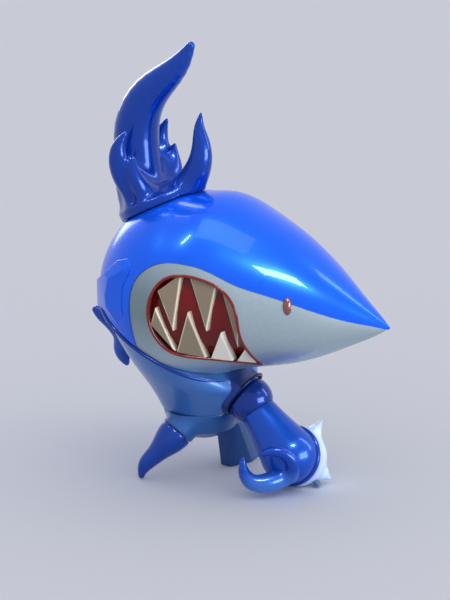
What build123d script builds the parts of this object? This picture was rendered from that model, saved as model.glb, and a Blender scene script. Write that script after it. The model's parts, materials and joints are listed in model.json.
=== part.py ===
from build123d import *
import math
import os

# Soft-vinyl toy figure with a shark head, flame crest, two fists, tail and foot.
# Millimetres. The head looks along +X, its left side is +Y, and +Z is up.
# The body below the neck is drawn in its own stance frame, turned from the head.

# ---- driving dimensions -------------------------------------------------
head_radius = 51.0          # round cranium
snout_reach = 109.7         # cranium centre to the snout's tip
head_centre = Vector(4.6, 0, 98.5)
neck_tilt = 30.0            # neck axis leans forward from upright, degrees
neck_drop = 24.4            # cranium centre down the neck axis to the neck split
stance_turn = 30.0          # the body's own frame, turned about +Z from the head
wall = 2.0                  # vinyl wall
gap = 0.3                   # open gap between pieces that turn on each other
peg_clearance = 0.07        # radial running clearance of every peg
flange_thickness = 1.5

neck_peg, neck_flange = 12.0, 16.0
waist_peg, waist_flange = 9.0, 13.0
crest_peg, crest_flange = 6.0, 9.0
tail_peg, tail_flange = 3.5, 5.2
shoulder_peg, shoulder_flange = 3.0, 4.5
wrist_peg, wrist_flange = 5.0, 8.0
bore_share = 0.55           # open bore of a peg, share of its radius

waist_radius, waist_height = 21.5, 35.3
pelvis_depth = 16.3
shoulder_ball_radius = 12.0
ball_offset = 5.9           # ball centre out from its seat
cup_lip = 1.4               # rim round each shoulder ball
cup_room = 0.6              # open room between a shoulder ball and its cup
cup_depth, cup_rim = 8.0, 1.5   # cup behind and in front of the ball's seat
bore_room = 1.2             # room round a shoulder's flange
gill_lift, gill_sink = 1.6, 0.4     # gill plates above and below the head's surface
belly_lift, belly_sink = 0.8, 0.9   # belly plate above and below the torso's surface
neck_floor_share = 0.79     # neck plug's floor, share of the head's radius
tail_boss = 11.0             # length of the tail's boss in the pelvis
knuckle_root, knuckle_tip, knuckle_start = 6.2, 0.6, 0.62   # spike radii and its start
tab_width, tab_thickness, tab_root = 5.0, 2.4, 1.2
elbow_radius = 15.0
sleeve_small_radius = 9.4
flare_share = 0.93          # sleeve's wide end, share of the elbow's radius
cuff_radius, cuff_thickness = 16.0, 3.0
glove_radius = 15.5
glove_offset = 8.7          # glove centre out from the elbow centre
crest_tilt, crest_spread = 27.0, 26.0   # crest axis back from upright, half angle of its foot
crest_pad = 5.5             # thickness of the crest's foot
tooth_recess, liner_thickness = 0.5, 1.6
eye_width, eye_height = 4.6, 9.0

# ---- head sections: reach share, top, bottom and half width as shares of the radius
head_sections = [
    (0.00, 1.000, 1.000, 1.000),
    (0.14, 1.018, 0.863, 0.961),
    (0.323, 0.888, 0.712, 0.843),
    (0.537, 0.651, 0.606, 0.657),
    (0.747, 0.324, 0.425, 0.402),
    (0.851, 0.143, 0.314, 0.245),
    (0.958, -0.037, 0.188, 0.082),
    (1.00, -0.112, 0.124, 0.006),
]
# side-view outlines, as shares of the reach (x) and of the radius (z) from the cranium centre
muzzle_line = [
    (-0.093, -0.41), (-0.103, -0.08), (-0.103, 0.073), (-0.073, 0.288), (0.015, 0.445),
    (0.138, 0.482), (0.256, 0.435), (0.395, 0.306), (0.524, 0.218), (0.707, 0.071),
    (0.861, -0.05), (0.94, -0.105), (1.02, -0.2),
]
mouth_line = [
    (0.438, -0.578), (0.427, -0.416), (0.412, -0.216), (0.404, 0.053), (0.357, 0.227), (0.263, 0.341),
    (0.163, 0.376), (0.077, 0.331), (0.032, 0.192), (0.016, -0.043), (0.036, -0.28), (0.088, -0.441),
    (0.197, -0.51), (0.349, -0.551),
]
upper_teeth = [
    ((0.046, 0.20), (0.151, 0.36), (0.115, -0.176)),
    ((0.183, 0.36), (0.311, 0.28), (0.263, -0.167)),
    ((0.335, 0.245), (0.404, 0.073), (0.377, -0.323)),
]
lower_teeth = [
    ((0.012, -0.145), (0.102, -0.369), (0.035, 0.026)),
    ((0.108, -0.39), (0.218, -0.463), (0.191, 0.006)),
    ((0.234, -0.486), (0.324, -0.508), (0.326, -0.192)),
    ((0.345, -0.508), (0.411, -0.529), (0.407, -0.38)),
]
gill_line = [(-0.329, 0.26), (-0.25, 0.41), (-0.187, 0.45), (-0.24, 0.23), (-0.254, -0.03), (-0.30, 0.10)]
eye_spot, eye_out = (0.611, 0.112), 0.55

# ---- flame and horn centre lines: points from their root, with the radius at each
flame_path = [
    ((-20, 0, 132), 12.0), ((-28.9, 0, 144.7), 13.0), ((-31.2, 0, 159.9), 11.6), ((-32.3, 0, 175.3), 11.5),
    ((-30, 0, 187), 10.7), ((-23.1, 0, 198.3), 9.4), ((-12.7, 0, 207.9), 7.4), ((-4.6, 0, 216.3), 4.9),
    ((1.7, 0, 226), 1.4),
]
front_horn_path = [
    ((-6, 0, 144), 8.0), ((0.5, 0, 154), 7.6), ((5.6, 0, 164.9), 6.2), ((6.2, 0, 175.2), 4.5),
    ((5.2, 0, 182.9), 2.6), ((6.4, 0, 191.3), 0.8),
]
side_curl_path = [
    ((-20, -9, 142), 8.0), ((-26, -16, 153), 6.9), ((-30.5, -20, 164), 5.0), ((-30, -20.8, 173), 3.3),
    ((-26, -20, 181), 0.9),
]
side_prong_path = [
    ((-20.5, -14, 148), 4.4), ((-20.5, -19, 156.5), 3.0), ((-21.8, -20.3, 163), 1.9),
    ((-21.2, -20, 168.5), 0.7),
]

# ---- stance frame: the body's own places
torso_sections = [  # centre, radius, lean of the section towards the neck's lean
    ((1.0, 1.0, 57.0), 34.5, 0.5),
    ((5.5, 0.5, 45.0), 27.0, 0.15),
]
waist_centre = Vector(6.0, 1.5, waist_height)
belly_facing, belly_width, belly_height, belly_level = 45.0, 17.0, 9.5, 47.0
tail_seat = Vector(-7.3, -13.1, 24.6)
tail_axis = Vector(-0.64, -0.30, -0.70).normalized()
tail_path = [
    ((-9.6, -14.4, 22.4), 8.2), ((-17.3, -15.5, 14.2), 5.6), ((-23.6, -15.6, 7.2), 3.8), ((-25.6, -15.5, 0), 1.7),
]
# foot outlines: share of the length (sole) or millimetres (ankle) ahead of the heel, share of the half width
sole_outline = [(0, -0.45), (0, 0.45), (0.55, 1), (1, 0.6), (1, -0.6), (0.55, -1)]
ankle_outline = [(-4, -0.5), (-4, 0.5), (2, 0.95), (11, 0.75), (11, -0.75), (2, -0.95)]
foot_heel, foot_turn, foot_length, foot_width, foot_ankle = Vector(18, 4.8, 0), 53.0, 25.0, 14.0, 24.0

right_arm = {
    "seat": Vector(26.0, -14.0, 46.5), "axis": Vector(0.72, -0.38, -0.58).normalized(),
    "elbow": Vector(50.5, -30.0, 17.5), "wrist": Vector(0.478, 0.796, -0.372).normalized(),
    "curl": [
        ((48, -38, 9), 5.5), ((40, -44, 7.5), 5.0), ((31, -46, 8.5), 4.2), ((26.8, -46, 14), 2.9),
        ((26.5, -45.5, 21.5), 0.7),
    ],
    "prong": [
        ((50, -39, 11), 4.4), ((51.3, -43.5, 18), 3.8), ((47.8, -45.2, 23), 3.2), ((42, -46, 24.8), 2.5),
        ((36, -45.8, 23), 0.8),
    ],
}
left_arm = {
    "seat": Vector(-13.3, 27.8, 57.6), "axis": Vector(-0.453, 0.886, -0.1).normalized(),
    "elbow": Vector(-24.0, 66.5, 53.3), "wrist": Vector(0.68, 0.54, -0.49).normalized(),
    "curl": [
        ((-30, 66, 54), 7.0), ((-38, 66, 57), 6.2), ((-43.5, 66, 61.5), 4.8), ((-47.5, 66, 65.5), 3.6),
        ((-50, 66, 68), 1.6),
    ],
    "prong": [((-31, 66, 54), 6.5), ((-37, 66, 51.5), 5.6), ((-38.5, 66, 45), 4.3), ((-36, 66, 37.5), 1.6)],
}
# knuckle spikes and the strap tab, in the wrist's own frame: turn, lift and reach
knuckles = [(-113.6, 10.0, 23.2), (-16.4, 38.5, 21.9)]
strap_tab = (0.6, 18.7, 18.6)

# ---- frames -------------------------------------------------------------
level_hint = (0.3, 0.9, 0.1)    # side direction of every plane across an axis
neck_axis = Vector(math.sin(math.radians(neck_tilt)), 0, math.cos(math.radians(neck_tilt)))
neck_centre = head_centre - neck_axis * neck_drop
crest_axis = Vector(-math.sin(math.radians(crest_tilt)), 0, math.cos(math.radians(crest_tilt)))


def to_stance(v):
    return v.rotate(Axis.Z, -stance_turn)


def to_head(shape):
    return Rot(0, 0, stance_turn) * shape


def frame_at(origin, axis, side=(0, 1, 0)):
    """A plane across an axis, with its own X held near the side direction."""
    axis = Vector(*axis).normalized() if not isinstance(axis, Vector) else axis.normalized()
    side = Vector(*side)
    across = side - axis * side.dot(axis)
    return Plane(origin=origin, x_dir=across.normalized(), z_dir=axis)


def beyond(origin, axis, reach=260):
    """All space on the axis's side of a plane."""
    align = (Align.CENTER, Align.CENTER, Align.MIN)
    return frame_at(origin, axis, level_hint) * Box(2 * reach, 2 * reach, reach, align=align)


def rod(origin, axis, radius, start, end):
    """A cylinder round an axis, between two distances from its origin."""
    place = frame_at(origin + axis * start, axis, level_hint)
    return place * Cylinder(radius, end - start, align=(Align.CENTER, Align.CENTER, Align.MIN))


def horn(path, side=(0, 1, 0), inset=0.0):
    """A tapering curved horn through round sections."""
    points = [Vector(*point) for point, radius in path]
    sections = []
    for i, (point, radius) in enumerate(path):
        before, after = points[max(i - 1, 0)], points[min(i + 1, len(points) - 1)]
        if radius - inset > 0.4:
            sections.append(frame_at(points[i], after - before, side) * Circle(radius - inset))
    return loft(sections)


def peg(origin, axis, radius, flange, plate):
    """The turning piece's peg: through the fixed plate behind the seat, with a flange beyond it."""
    back = -(plate + gap)
    return (rod(origin, axis, radius, back - flange_thickness, gap + wall)
            + rod(origin, axis, flange, back - flange_thickness, back))


def peg_bore(origin, axis, radius, plate):
    return rod(origin, axis, radius * bore_share, -(plate + gap + flange_thickness + 1), gap + wall + 2)


def peg_hole(origin, axis, radius, plate):
    return rod(origin, axis, radius + peg_clearance, -(plate + 0.5), gap)


# ---- head ---------------------------------------------------------------
def head_solid(inset):
    """The whole head's outer form, or the same form set in by a wall."""
    back = Pos(*head_centre) * Sphere(head_radius - inset)
    back -= beyond(head_centre, Vector(1, 0, 0))
    sections = []
    for reach, top, bottom, width in head_sections:
        height = (top + bottom) / 2 * head_radius - inset
        half = width * head_radius - inset
        if min(height, half) < 0.25:
            continue
        level = head_centre.Z + (top - bottom) / 2 * head_radius
        x = head_centre.X + reach * snout_reach
        place = Plane(origin=(x, 0, level), x_dir=(0, 1, 0), z_dir=(1, 0, 0))
        sections.append(place * Ellipse(half, height))
    return back + loft(sections)


def face_point(share):
    return (head_centre.X + share[0] * snout_reach, head_centre.Z + share[1] * head_radius)


def side_prism(outline, side, smooth=True):
    """A side-view outline drawn out sideways: side -1 right, 1 left, 0 both."""
    points = [face_point(p) for p in outline]
    sketch_plane = Plane(origin=(0, 0, 0), x_dir=(1, 0, 0), z_dir=(0, -1, 0))
    if smooth:
        face = sketch_plane * make_face([Spline(points), Line(points[-1], points[0])])
    else:
        face = sketch_plane * make_face(Polyline(points, close=True))
    reach = 1.4 * head_radius
    if side == 0:
        return extrude(face, amount=reach, dir=(0, 1, 0), both=True)
    return extrude(face, amount=reach, dir=(0, side, 0))


def muzzle_prism():
    """Everything on the muzzle's side of the colour line."""
    line = [face_point(p) for p in muzzle_line]
    start, end = line[0], line[-1]
    curve = Spline([(x, z) for x, z in line])
    below = head_centre.Z - 1.3 * head_radius
    rest = Polyline([end, (end[0], below), (start[0], below), start])
    face = make_face([curve, *rest.edges()])
    sketch_plane = Plane(origin=(0, 1.4 * head_radius, 0), x_dir=(1, 0, 0), z_dir=(0, -1, 0))
    return extrude(sketch_plane * face, amount=2.8 * head_radius, dir=(0, -1, 0))


def make_head():
    outer, inner = head_solid(0), head_solid(wall)
    above_neck = beyond(neck_centre + neck_axis * gap, neck_axis)
    shell = (outer - inner) & above_neck
    hole_radius = crest_peg + peg_clearance
    crest_hole = rod(head_centre, crest_axis, hole_radius, head_radius - 2 * wall, head_radius + wall)
    eyes, sockets = {}, []
    for name, side in (("right", -1), ("left", 1)):
        x, z = face_point(eye_spot)
        y = side * head_radius * eye_out
        oval = Ellipse(eye_width / 2, eye_height / 2)
        socket = Plane(origin=(x, 0, z), x_dir=(1, 0, 0), z_dir=(0, -1, 0)) * oval
        sockets.append(extrude(socket, amount=head_radius, dir=(0, side, 0)))
        right_half = Rectangle(eye_width, 2 * eye_height, align=(Align.MIN, Align.CENTER))
        half = Plane(origin=(x, y, z), x_dir=(1, 0, 0), z_dir=(0, -1, 0)) * (oval & right_half)
        eyes["eye_" + name] = revolve(half, Axis((x, y, z), (0, 0, 1)))
    gills = head_solid(-gill_lift) - head_solid(gill_sink)
    gills &= side_prism(gill_line, -1, False) + side_prism(gill_line, 1, False)
    crown = shell - muzzle_prism() - crest_hole
    crown += gills
    muzzle = shell & muzzle_prism()
    parts = {}
    liner_outer, liner_inner = inner, head_solid(wall + liner_thickness)
    tooth_outer = head_solid(tooth_recess)
    for name, side in (("right", -1), ("left", 1)):
        mouth = side_prism(mouth_line, side)
        muzzle -= mouth
        parts["mouth_liner_" + name] = (liner_outer - liner_inner) & mouth
        for row, teeth in (("upper", upper_teeth), ("lower", lower_teeth)):
            cut = None
            for tooth in teeth:
                prism = side_prism(tooth, side, False)
                cut = prism if cut is None else cut + prism
            parts[row + "_teeth_" + name] = ((tooth_outer - inner) & cut) & mouth
    for socket in sockets:
        crown -= socket
        muzzle -= socket
    floor_disc = rod(neck_centre, neck_axis, head_radius * neck_floor_share, gap, gap + wall)
    floor_disc &= head_solid(wall + 0.1)
    plug = floor_disc + peg(neck_centre, neck_axis, neck_peg, neck_flange, wall)
    plug -= peg_bore(neck_centre, neck_axis, neck_peg, wall)
    parts.update({"head_crown": crown, "muzzle_shell": muzzle, "neck_plug": plug, **eyes})
    return parts


def make_crest():
    pad_reach = head_radius * math.sin(math.radians(crest_spread))
    pad = (Pos(*head_centre) * Sphere(head_radius + gap + crest_pad)) & rod(
        head_centre, crest_axis, pad_reach, head_radius * 0.6, head_radius * 1.3)
    crest = pad + horn(flame_path) + horn(front_horn_path)
    for side in (1, -1):
        for path in (side_curl_path, side_prong_path):
            crest += horn([((x, side * y, z), radius) for (x, y, z), radius in path], (1, 0, 0))
    crest -= head_solid(-gap)
    seat = head_centre + crest_axis * head_radius
    crest += rod(seat, crest_axis, crest_peg, -(wall + gap + flange_thickness), gap + 2)
    flange_top = -(wall + 2 * gap + 0.6)
    crest += rod(seat, crest_axis, crest_flange, flange_top - flange_thickness, flange_top)
    crest -= rod(seat, crest_axis, crest_peg * bore_share, -(wall + flange_thickness + 3), crest_pad)
    crest -= horn(flame_path[1:-1], inset=wall + 0.6)
    return {"flame_crest": crest}


# ---- torso, pelvis, tail and foot (stance frame) ------------------------
def torso_solid(inset):
    lean = to_stance(neck_axis)
    rim = math.sqrt(head_radius ** 2 - neck_drop ** 2) - 0.5
    sections = [frame_at(to_stance(neck_centre), lean) * Circle(rim - inset)]
    for centre, radius, share in torso_sections:
        tilt = Vector(0, 0, 1) * (1 - share) + lean * share
        sections.append(frame_at(Vector(*centre), tilt) * Circle(radius - inset))
    sections.append(frame_at(waist_centre, Vector(0, 0, 1)) * Circle(waist_radius - inset))
    return loft(sections)


def make_torso():
    lean, top = to_stance(neck_axis), to_stance(neck_centre)
    up = Vector(0, 0, 1)
    outer = torso_solid(0)
    cavity = torso_solid(wall)
    holes = None
    for arm in (right_arm, left_arm):
        seat, axis = arm["seat"], arm["axis"]
        pocket = shoulder_ball_radius + cup_room
        outer += rod(seat, axis, pocket + cup_lip, -cup_depth, cup_rim)
        outer -= rod(seat, axis, pocket, 0, 60)
        cavity -= rod(seat, axis, pocket + wall, -wall, 60)
        cavity += rod(seat, axis, shoulder_flange + bore_room, -cup_depth, -wall)
        hole = peg_hole(seat, axis, shoulder_peg, wall)
        holes = hole if holes is None else holes + hole
    outer -= beyond(top, lean)
    outer -= beyond(waist_centre, -up)
    cavity -= beyond(top - lean * wall, lean)
    cavity -= beyond(waist_centre + up * wall, -up)
    shell = outer - cavity - holes
    shell -= peg_hole(top, lean, neck_peg, wall)
    shell -= peg_hole(waist_centre, -up, waist_peg, wall)
    facing = Vector(1, 0, 0).rotate(Axis.Z, belly_facing)
    spot = Vector(waist_centre.X, waist_centre.Y, belly_level)
    oval_plane = Plane(origin=spot, x_dir=facing.rotate(Axis.Z, 90), z_dir=facing)
    oval = oval_plane * Ellipse(belly_width, belly_height)
    patch = (torso_solid(-belly_lift) - torso_solid(belly_sink)) & extrude(oval, amount=60)
    shell -= patch
    return {"torso_shell": to_head(shell), "belly_plate": to_head(patch)}


def make_pelvis():
    up = Vector(0, 0, 1)
    seat = waist_centre

    def bowl(inset):
        top, bottom = -gap - inset, -pelvis_depth + inset
        radius = waist_radius - 0.5 - inset
        rim, foot_edge = (radius, top), (radius * 0.42, bottom)
        side = Spline([rim, (radius - 1, top - 4 + inset), (radius * 0.8, bottom * 0.68), foot_edge])
        face = make_face([Line((0, top), rim), side, Line(foot_edge, (0, bottom)), Line((0, bottom), (0, top))])
        return Pos(*seat) * revolve(Plane.XZ * face, Axis.Z)

    tail_root = tail_path[0][1] + 0.6
    outer = bowl(0) - rod(tail_seat, tail_axis, tail_root + gap, 0, 30)
    outer += rod(tail_seat, tail_axis, tail_root, -tail_boss, 0)
    outer -= beyond(seat - up * gap, up)
    cavity = bowl(wall) - beyond(tail_seat - tail_axis * wall, tail_axis)
    cavity += rod(tail_seat, tail_axis, tail_root - wall, -tail_boss, -wall)
    cavity -= beyond(seat - up * (gap + wall), up)
    shell = outer - cavity
    shell -= peg_hole(tail_seat, tail_axis, tail_peg, wall)
    shell += peg(seat, -up, waist_peg, waist_flange, wall)
    shell -= peg_bore(seat, -up, waist_peg, wall)

    across = foot_width / 2
    sole = [(along * foot_length, side * across) for along, side in sole_outline]
    ankle = [(along, side * across) for along, side in ankle_outline]
    place = Pos(*foot_heel) * Rot(0, 0, foot_turn)
    top = Pos(0, 0, foot_ankle) * make_face(Polyline(ankle, close=True))
    foot = place * loft([make_face(Polyline(sole, close=True)), top], ruled=True)
    foot -= bowl(-0.02)
    foot = max(foot.solids(), key=lambda s: s.volume)
    return {"pelvis_shell": to_head(shell), "foot_block": to_head(foot)}


def make_tail():
    start = tail_seat + tail_axis * gap
    path = [(tuple(start), tail_path[0][1] + 0.6), *tail_path]
    points = [Vector(*p) for p, r in path]
    sections = []
    for i, (point, radius) in enumerate(path):
        tangent = points[min(i + 1, len(points) - 1)] - points[max(i - 1, 0)]
        if i == 0:
            tangent = tail_axis
        if i == len(path) - 1:
            tangent = Vector(0, 0, -1)
        sections.append(frame_at(points[i], tangent) * Circle(radius))
    tail = loft(sections)
    tail += peg(tail_seat, tail_axis, tail_peg, tail_flange, wall)
    tail -= peg_bore(tail_seat, tail_axis, tail_peg, wall)
    return {"tail": to_head(tail)}


# ---- arms (stance frame) ------------------------------------------------
def make_arm(side, arm, on_floor):
    seat, axis, elbow, wrist = arm["seat"], arm["axis"], arm["elbow"], arm["wrist"]
    ball = seat + axis * ball_offset
    sleeve_axis = (elbow - ball).normalized()
    reach = (elbow - ball).length
    joint_at = math.sqrt(shoulder_ball_radius ** 2 - sleeve_small_radius ** 2)

    ball_frame = frame_at(ball, sleeve_axis, level_hint)
    ball_solid = ball_frame * Sphere(shoulder_ball_radius)
    ball_solid -= beyond(seat + axis * gap, -axis)
    ball_solid -= beyond(ball + sleeve_axis * joint_at, sleeve_axis)
    hollow_ball = ball_frame * Sphere(shoulder_ball_radius - wall - 0.5)
    ball_solid -= hollow_ball - beyond(seat + axis * (gap + wall), -axis)
    ball_solid += peg(seat, axis, shoulder_peg, shoulder_flange, wall)
    ball_solid -= peg_bore(seat, axis, shoulder_peg, wall)

    start = ball + sleeve_axis * joint_at
    length = reach - joint_at
    cone_place = frame_at(start, sleeve_axis, level_hint)
    low = (Align.CENTER, Align.CENTER, Align.MIN)
    cuff_start = elbow_radius * 0.1
    flare = elbow_radius * flare_share
    outside = cone_place * Cone(sleeve_small_radius, flare, length, align=low)
    outside += Pos(*elbow) * Sphere(elbow_radius)
    inside = cone_place * Cone(sleeve_small_radius - wall, flare - wall, length, align=low)
    inside += Pos(*elbow) * Sphere(elbow_radius - wall)
    sleeve = outside - inside - beyond(elbow + wrist * cuff_start, wrist)
    sleeve = max(sleeve.solids(), key=lambda s: s.volume)

    cuff_end = cuff_start + cuff_thickness
    cuff = rod(elbow, wrist, cuff_radius, cuff_start, cuff_end)
    cuff -= rod(elbow, wrist, wrist_peg + peg_clearance, cuff_start - 1, cuff_end + 1)
    edge = [e for e in cuff.edges().filter_by(GeomType.CIRCLE) if abs(e.radius - cuff_radius) < 0.01]
    cuff = fillet(edge, cuff_thickness * 0.35)

    flame = horn(arm["curl"], (0.1, 0.2, 1)) + horn(arm["prong"], (0.1, 1, 0.1))
    flame -= outside
    flame -= rod(elbow, wrist, cuff_radius + gap, cuff_start - 0.2, 30)
    flame = max(flame.solids(), key=lambda s: s.volume)

    wrist_frame = frame_at(elbow + wrist * glove_offset, wrist, tuple(sleeve_axis))
    hand_centre = wrist_frame.origin
    hand_seat = elbow + wrist * cuff_end
    glove = Pos(*hand_centre) * Sphere(glove_radius)

    def along(turn, lift, reach):
        turn, lift = math.radians(turn), math.radians(lift)
        level = reach * math.cos(lift)
        local = Vector(level * math.cos(turn), level * math.sin(turn), reach * math.sin(lift))
        return wrist_frame.from_local_coords(local)

    for turn, lift, far in knuckles:
        tip = along(turn, lift, far)
        out = (tip - hand_centre).normalized()
        root = glove_radius * knuckle_start
        place = frame_at(hand_centre + out * root, out, level_hint)
        glove += place * Cone(knuckle_root, knuckle_tip, far - root, align=low)
    hollow = Pos(*hand_centre) * Sphere(glove_radius - wall - 0.5)
    tab_tip = along(*strap_tab)
    out = (tab_tip - hand_centre).normalized()
    tab_place = frame_at(hand_centre + out * (glove_radius - tab_root), out, tuple(wrist))
    tab = tab_place * Box(tab_width, tab_thickness, strap_tab[2] - glove_radius + tab_root, align=low)
    glove -= tab
    glove &= beyond(hand_seat + wrist * gap, wrist)
    glove -= hollow & beyond(hand_seat + wrist * (gap + wall), wrist)
    glove += peg(hand_seat, wrist, wrist_peg, wrist_flange, cuff_thickness)
    glove -= peg_bore(hand_seat, wrist, wrist_peg, cuff_thickness)
    if on_floor:
        floor = Box(400, 400, 50, align=(Align.CENTER, Align.CENTER, Align.MAX))
        glove -= floor
        tab -= floor
    nodes = {
        "shoulder_ball": ball_solid, "sleeve": sleeve, "cuff_ring": cuff, "elbow_flame": flame, "glove": glove,
        "strap_tab": tab,
    }
    return {name + "_" + side: to_head(shape) for name, shape in nodes.items()}


def joint_frames():
    """Centre and axis of every turning joint, before the model is set on its base."""
    up = Vector(0, 0, 1)
    turn = {"waist": (waist_centre, -up), "tail": (tail_seat, tail_axis)}
    for side, arm in (("right", right_arm), ("left", left_arm)):
        turn[side + "_shoulder"] = (arm["seat"], arm["axis"])
        turn[side + "_wrist"] = (arm["elbow"], arm["wrist"])
    frames = {}
    for name, (centre, axis) in turn.items():
        frames[name] = (centre.rotate(Axis.Z, stance_turn), axis.rotate(Axis.Z, stance_turn))
    frames["neck"] = (neck_centre, neck_axis)
    frames["crest"] = (head_centre, crest_axis)
    return frames


def build():
    nodes = {}
    nodes.update(make_head())
    nodes.update(make_crest())
    nodes.update(make_torso())
    nodes.update(make_pelvis())
    nodes.update(make_tail())
    nodes.update(make_arm("right", right_arm, True))
    nodes.update(make_arm("left", left_arm, False))
    box = Compound(children=[s for shape in nodes.values() for s in shape.solids()]).bounding_box()
    shift = Vector(-(box.min.X + box.max.X) / 2, -(box.min.Y + box.max.Y) / 2, -box.min.Z)
    return {name: Pos(*shift) * shape for name, shape in nodes.items()}, shift


if __name__ == "__main__":
    os.makedirs("parts", exist_ok=True)
    nodes, shift = build()
    for name, shape in nodes.items():
        export_step(Compound(children=list(shape.solids())), "parts/" + name + ".step")
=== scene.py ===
import bpy
import bmesh
import json
import math
import numpy as np
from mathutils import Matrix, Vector

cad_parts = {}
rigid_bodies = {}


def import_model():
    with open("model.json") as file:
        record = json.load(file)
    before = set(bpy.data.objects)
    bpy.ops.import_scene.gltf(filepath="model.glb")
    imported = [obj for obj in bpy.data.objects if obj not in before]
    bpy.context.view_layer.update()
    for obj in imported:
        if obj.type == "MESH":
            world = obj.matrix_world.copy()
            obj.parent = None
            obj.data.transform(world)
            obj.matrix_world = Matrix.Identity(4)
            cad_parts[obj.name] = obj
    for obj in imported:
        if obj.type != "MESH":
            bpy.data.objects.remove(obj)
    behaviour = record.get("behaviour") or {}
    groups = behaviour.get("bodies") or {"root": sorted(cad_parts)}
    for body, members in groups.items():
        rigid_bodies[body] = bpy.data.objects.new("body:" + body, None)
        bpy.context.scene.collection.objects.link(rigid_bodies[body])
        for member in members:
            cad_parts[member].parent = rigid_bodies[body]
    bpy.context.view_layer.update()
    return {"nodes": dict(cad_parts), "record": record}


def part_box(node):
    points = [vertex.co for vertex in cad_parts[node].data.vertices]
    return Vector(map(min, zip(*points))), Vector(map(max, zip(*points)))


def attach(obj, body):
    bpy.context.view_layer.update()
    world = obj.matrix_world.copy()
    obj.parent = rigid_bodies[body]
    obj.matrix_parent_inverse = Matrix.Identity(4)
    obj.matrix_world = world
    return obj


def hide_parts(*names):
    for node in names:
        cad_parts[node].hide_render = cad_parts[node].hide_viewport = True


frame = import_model()
joints = {joint["name"]: joint for joint in frame["record"]["behaviour"]["joints"]}
mm = 0.001

# where things are: the head's own centre, and the body's stance turned from it
headCentre = np.array(joints["crest_swivel"]["pos_m"]) / mm
stanceTurn = math.radians(30)
stanceShift = headCentre - np.array([4.6, 0.0, 98.5])


def stance(point):
    u, d, z = point
    return np.array([u * math.cos(stanceTurn) - d * math.sin(stanceTurn),
                     u * math.sin(stanceTurn) + d * math.cos(stanceTurn), z]) + stanceShift


def stanceWay(way):
    return unit(stance(way) - stanceShift)


def unit(v):
    v = np.asarray(v, float)
    return v / np.linalg.norm(v)


def jointPlace(name):
    return np.array(joints[name]["pos_m"]) / mm, unit(joints[name]["axis"])


# meshes
def makeObject(name, verts, faces, smooth=True):
    mesh = bpy.data.meshes.new(name)
    mesh.from_pydata([tuple(v) for v in np.asarray(verts) * mm], [],
        [tuple(int(i) for i in f) for f in faces])
    mesh.validate()
    mesh.update()
    if smooth:
        mesh.shade_smooth()
    piece = bpy.data.objects.new(name, mesh)
    bpy.context.scene.collection.objects.link(piece)
    return piece


def recalcNormals(piece):
    work = bmesh.new()
    work.from_mesh(piece.data)
    bmesh.ops.remove_doubles(work, verts=work.verts, dist=1e-7)
    bmesh.ops.recalc_face_normals(work, faces=work.faces)
    work.to_mesh(piece.data)
    work.free()


def dropObject(piece):
    mesh = piece.data
    bpy.data.objects.remove(piece)
    if mesh.users == 0:
        bpy.data.meshes.remove(mesh)


def applyModifiers(piece):
    depsgraph = bpy.context.evaluated_depsgraph_get()
    mesh = bpy.data.meshes.new_from_object(piece.evaluated_get(depsgraph))
    old = piece.data
    piece.modifiers.clear()
    piece.data = mesh
    bpy.data.meshes.remove(old)
    return piece


def carve(piece, tool, how="DIFFERENCE", keepTool=False):
    modifier = piece.modifiers.new("carve", "BOOLEAN")
    modifier.operation = how
    modifier.solver = "EXACT"
    modifier.object = tool
    applyModifiers(piece)
    if not keepTool:
        dropObject(tool)
    return piece


def softenEdges(piece, width, angle=35, segments=2):
    modifier = piece.modifiers.new("soften", "BEVEL")
    modifier.width = width * mm
    modifier.segments = segments
    modifier.limit_method = "ANGLE"
    modifier.angle_limit = math.radians(angle)
    modifier.use_clamp_overlap = True
    applyModifiers(piece)
    return piece


def shadeByAngle(piece, angle=32):
    piece.data.shade_smooth()
    piece.data.set_sharp_from_angle(angle=math.radians(angle))
    return piece


def gridFaces(rows, columns):
    faces = []
    for i in range(rows - 1):
        for j in range(columns):
            k = (j + 1) % columns
            faces.append((i * columns + j, i * columns + k, (i + 1) * columns + k, (i + 1) * columns + j))
    return faces


def tube(name, rings, closeEnds=True):
    rings = np.asarray(rings)
    rows, columns = rings.shape[:2]
    verts = list(rings.reshape(-1, 3))
    faces = gridFaces(rows, columns)
    if closeEnds:
        verts += [rings[0].mean(axis=0), rings[-1].mean(axis=0)]
        first, last = rows * columns, rows * columns + 1
        for j in range(columns):
            k = (j + 1) % columns
            faces.append((first, k, j))
            faces.append((last, (rows - 1) * columns + j, (rows - 1) * columns + k))
    piece = makeObject(name, verts, faces)
    recalcNormals(piece)
    return piece


def sideAxes(axis, hint=(0.31, 0.9, 0.12)):
    axis = unit(axis)
    across = unit(np.asarray(hint) - axis * np.dot(axis, hint))
    return across, np.cross(axis, across)


def lathe(name, origin, axis, profile, count=96, hint=(0.31, 0.9, 0.12)):
    axis = unit(axis)
    across, up = sideAxes(axis, hint)
    turns = np.linspace(0, 2 * math.pi, count, endpoint=False)
    circle = np.cos(turns)[:, None] * across + np.sin(turns)[:, None] * up
    rings = [np.asarray(origin) + axis * along + circle * max(radius, 1e-3) for along, radius in profile]
    return shadeByAngle(tube(name, rings), 40)


def splineThrough(points, count, startSlope=None):
    points = np.asarray(points, float)
    if points.ndim == 1:
        points = points[:, None]
    steps = np.linalg.norm(np.diff(points[:, :3], axis=0), axis=1)
    t = np.concatenate([[0], np.cumsum(steps)])
    return cubicAt(t, points, np.linspace(0, t[-1], count), startSlope)


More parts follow.
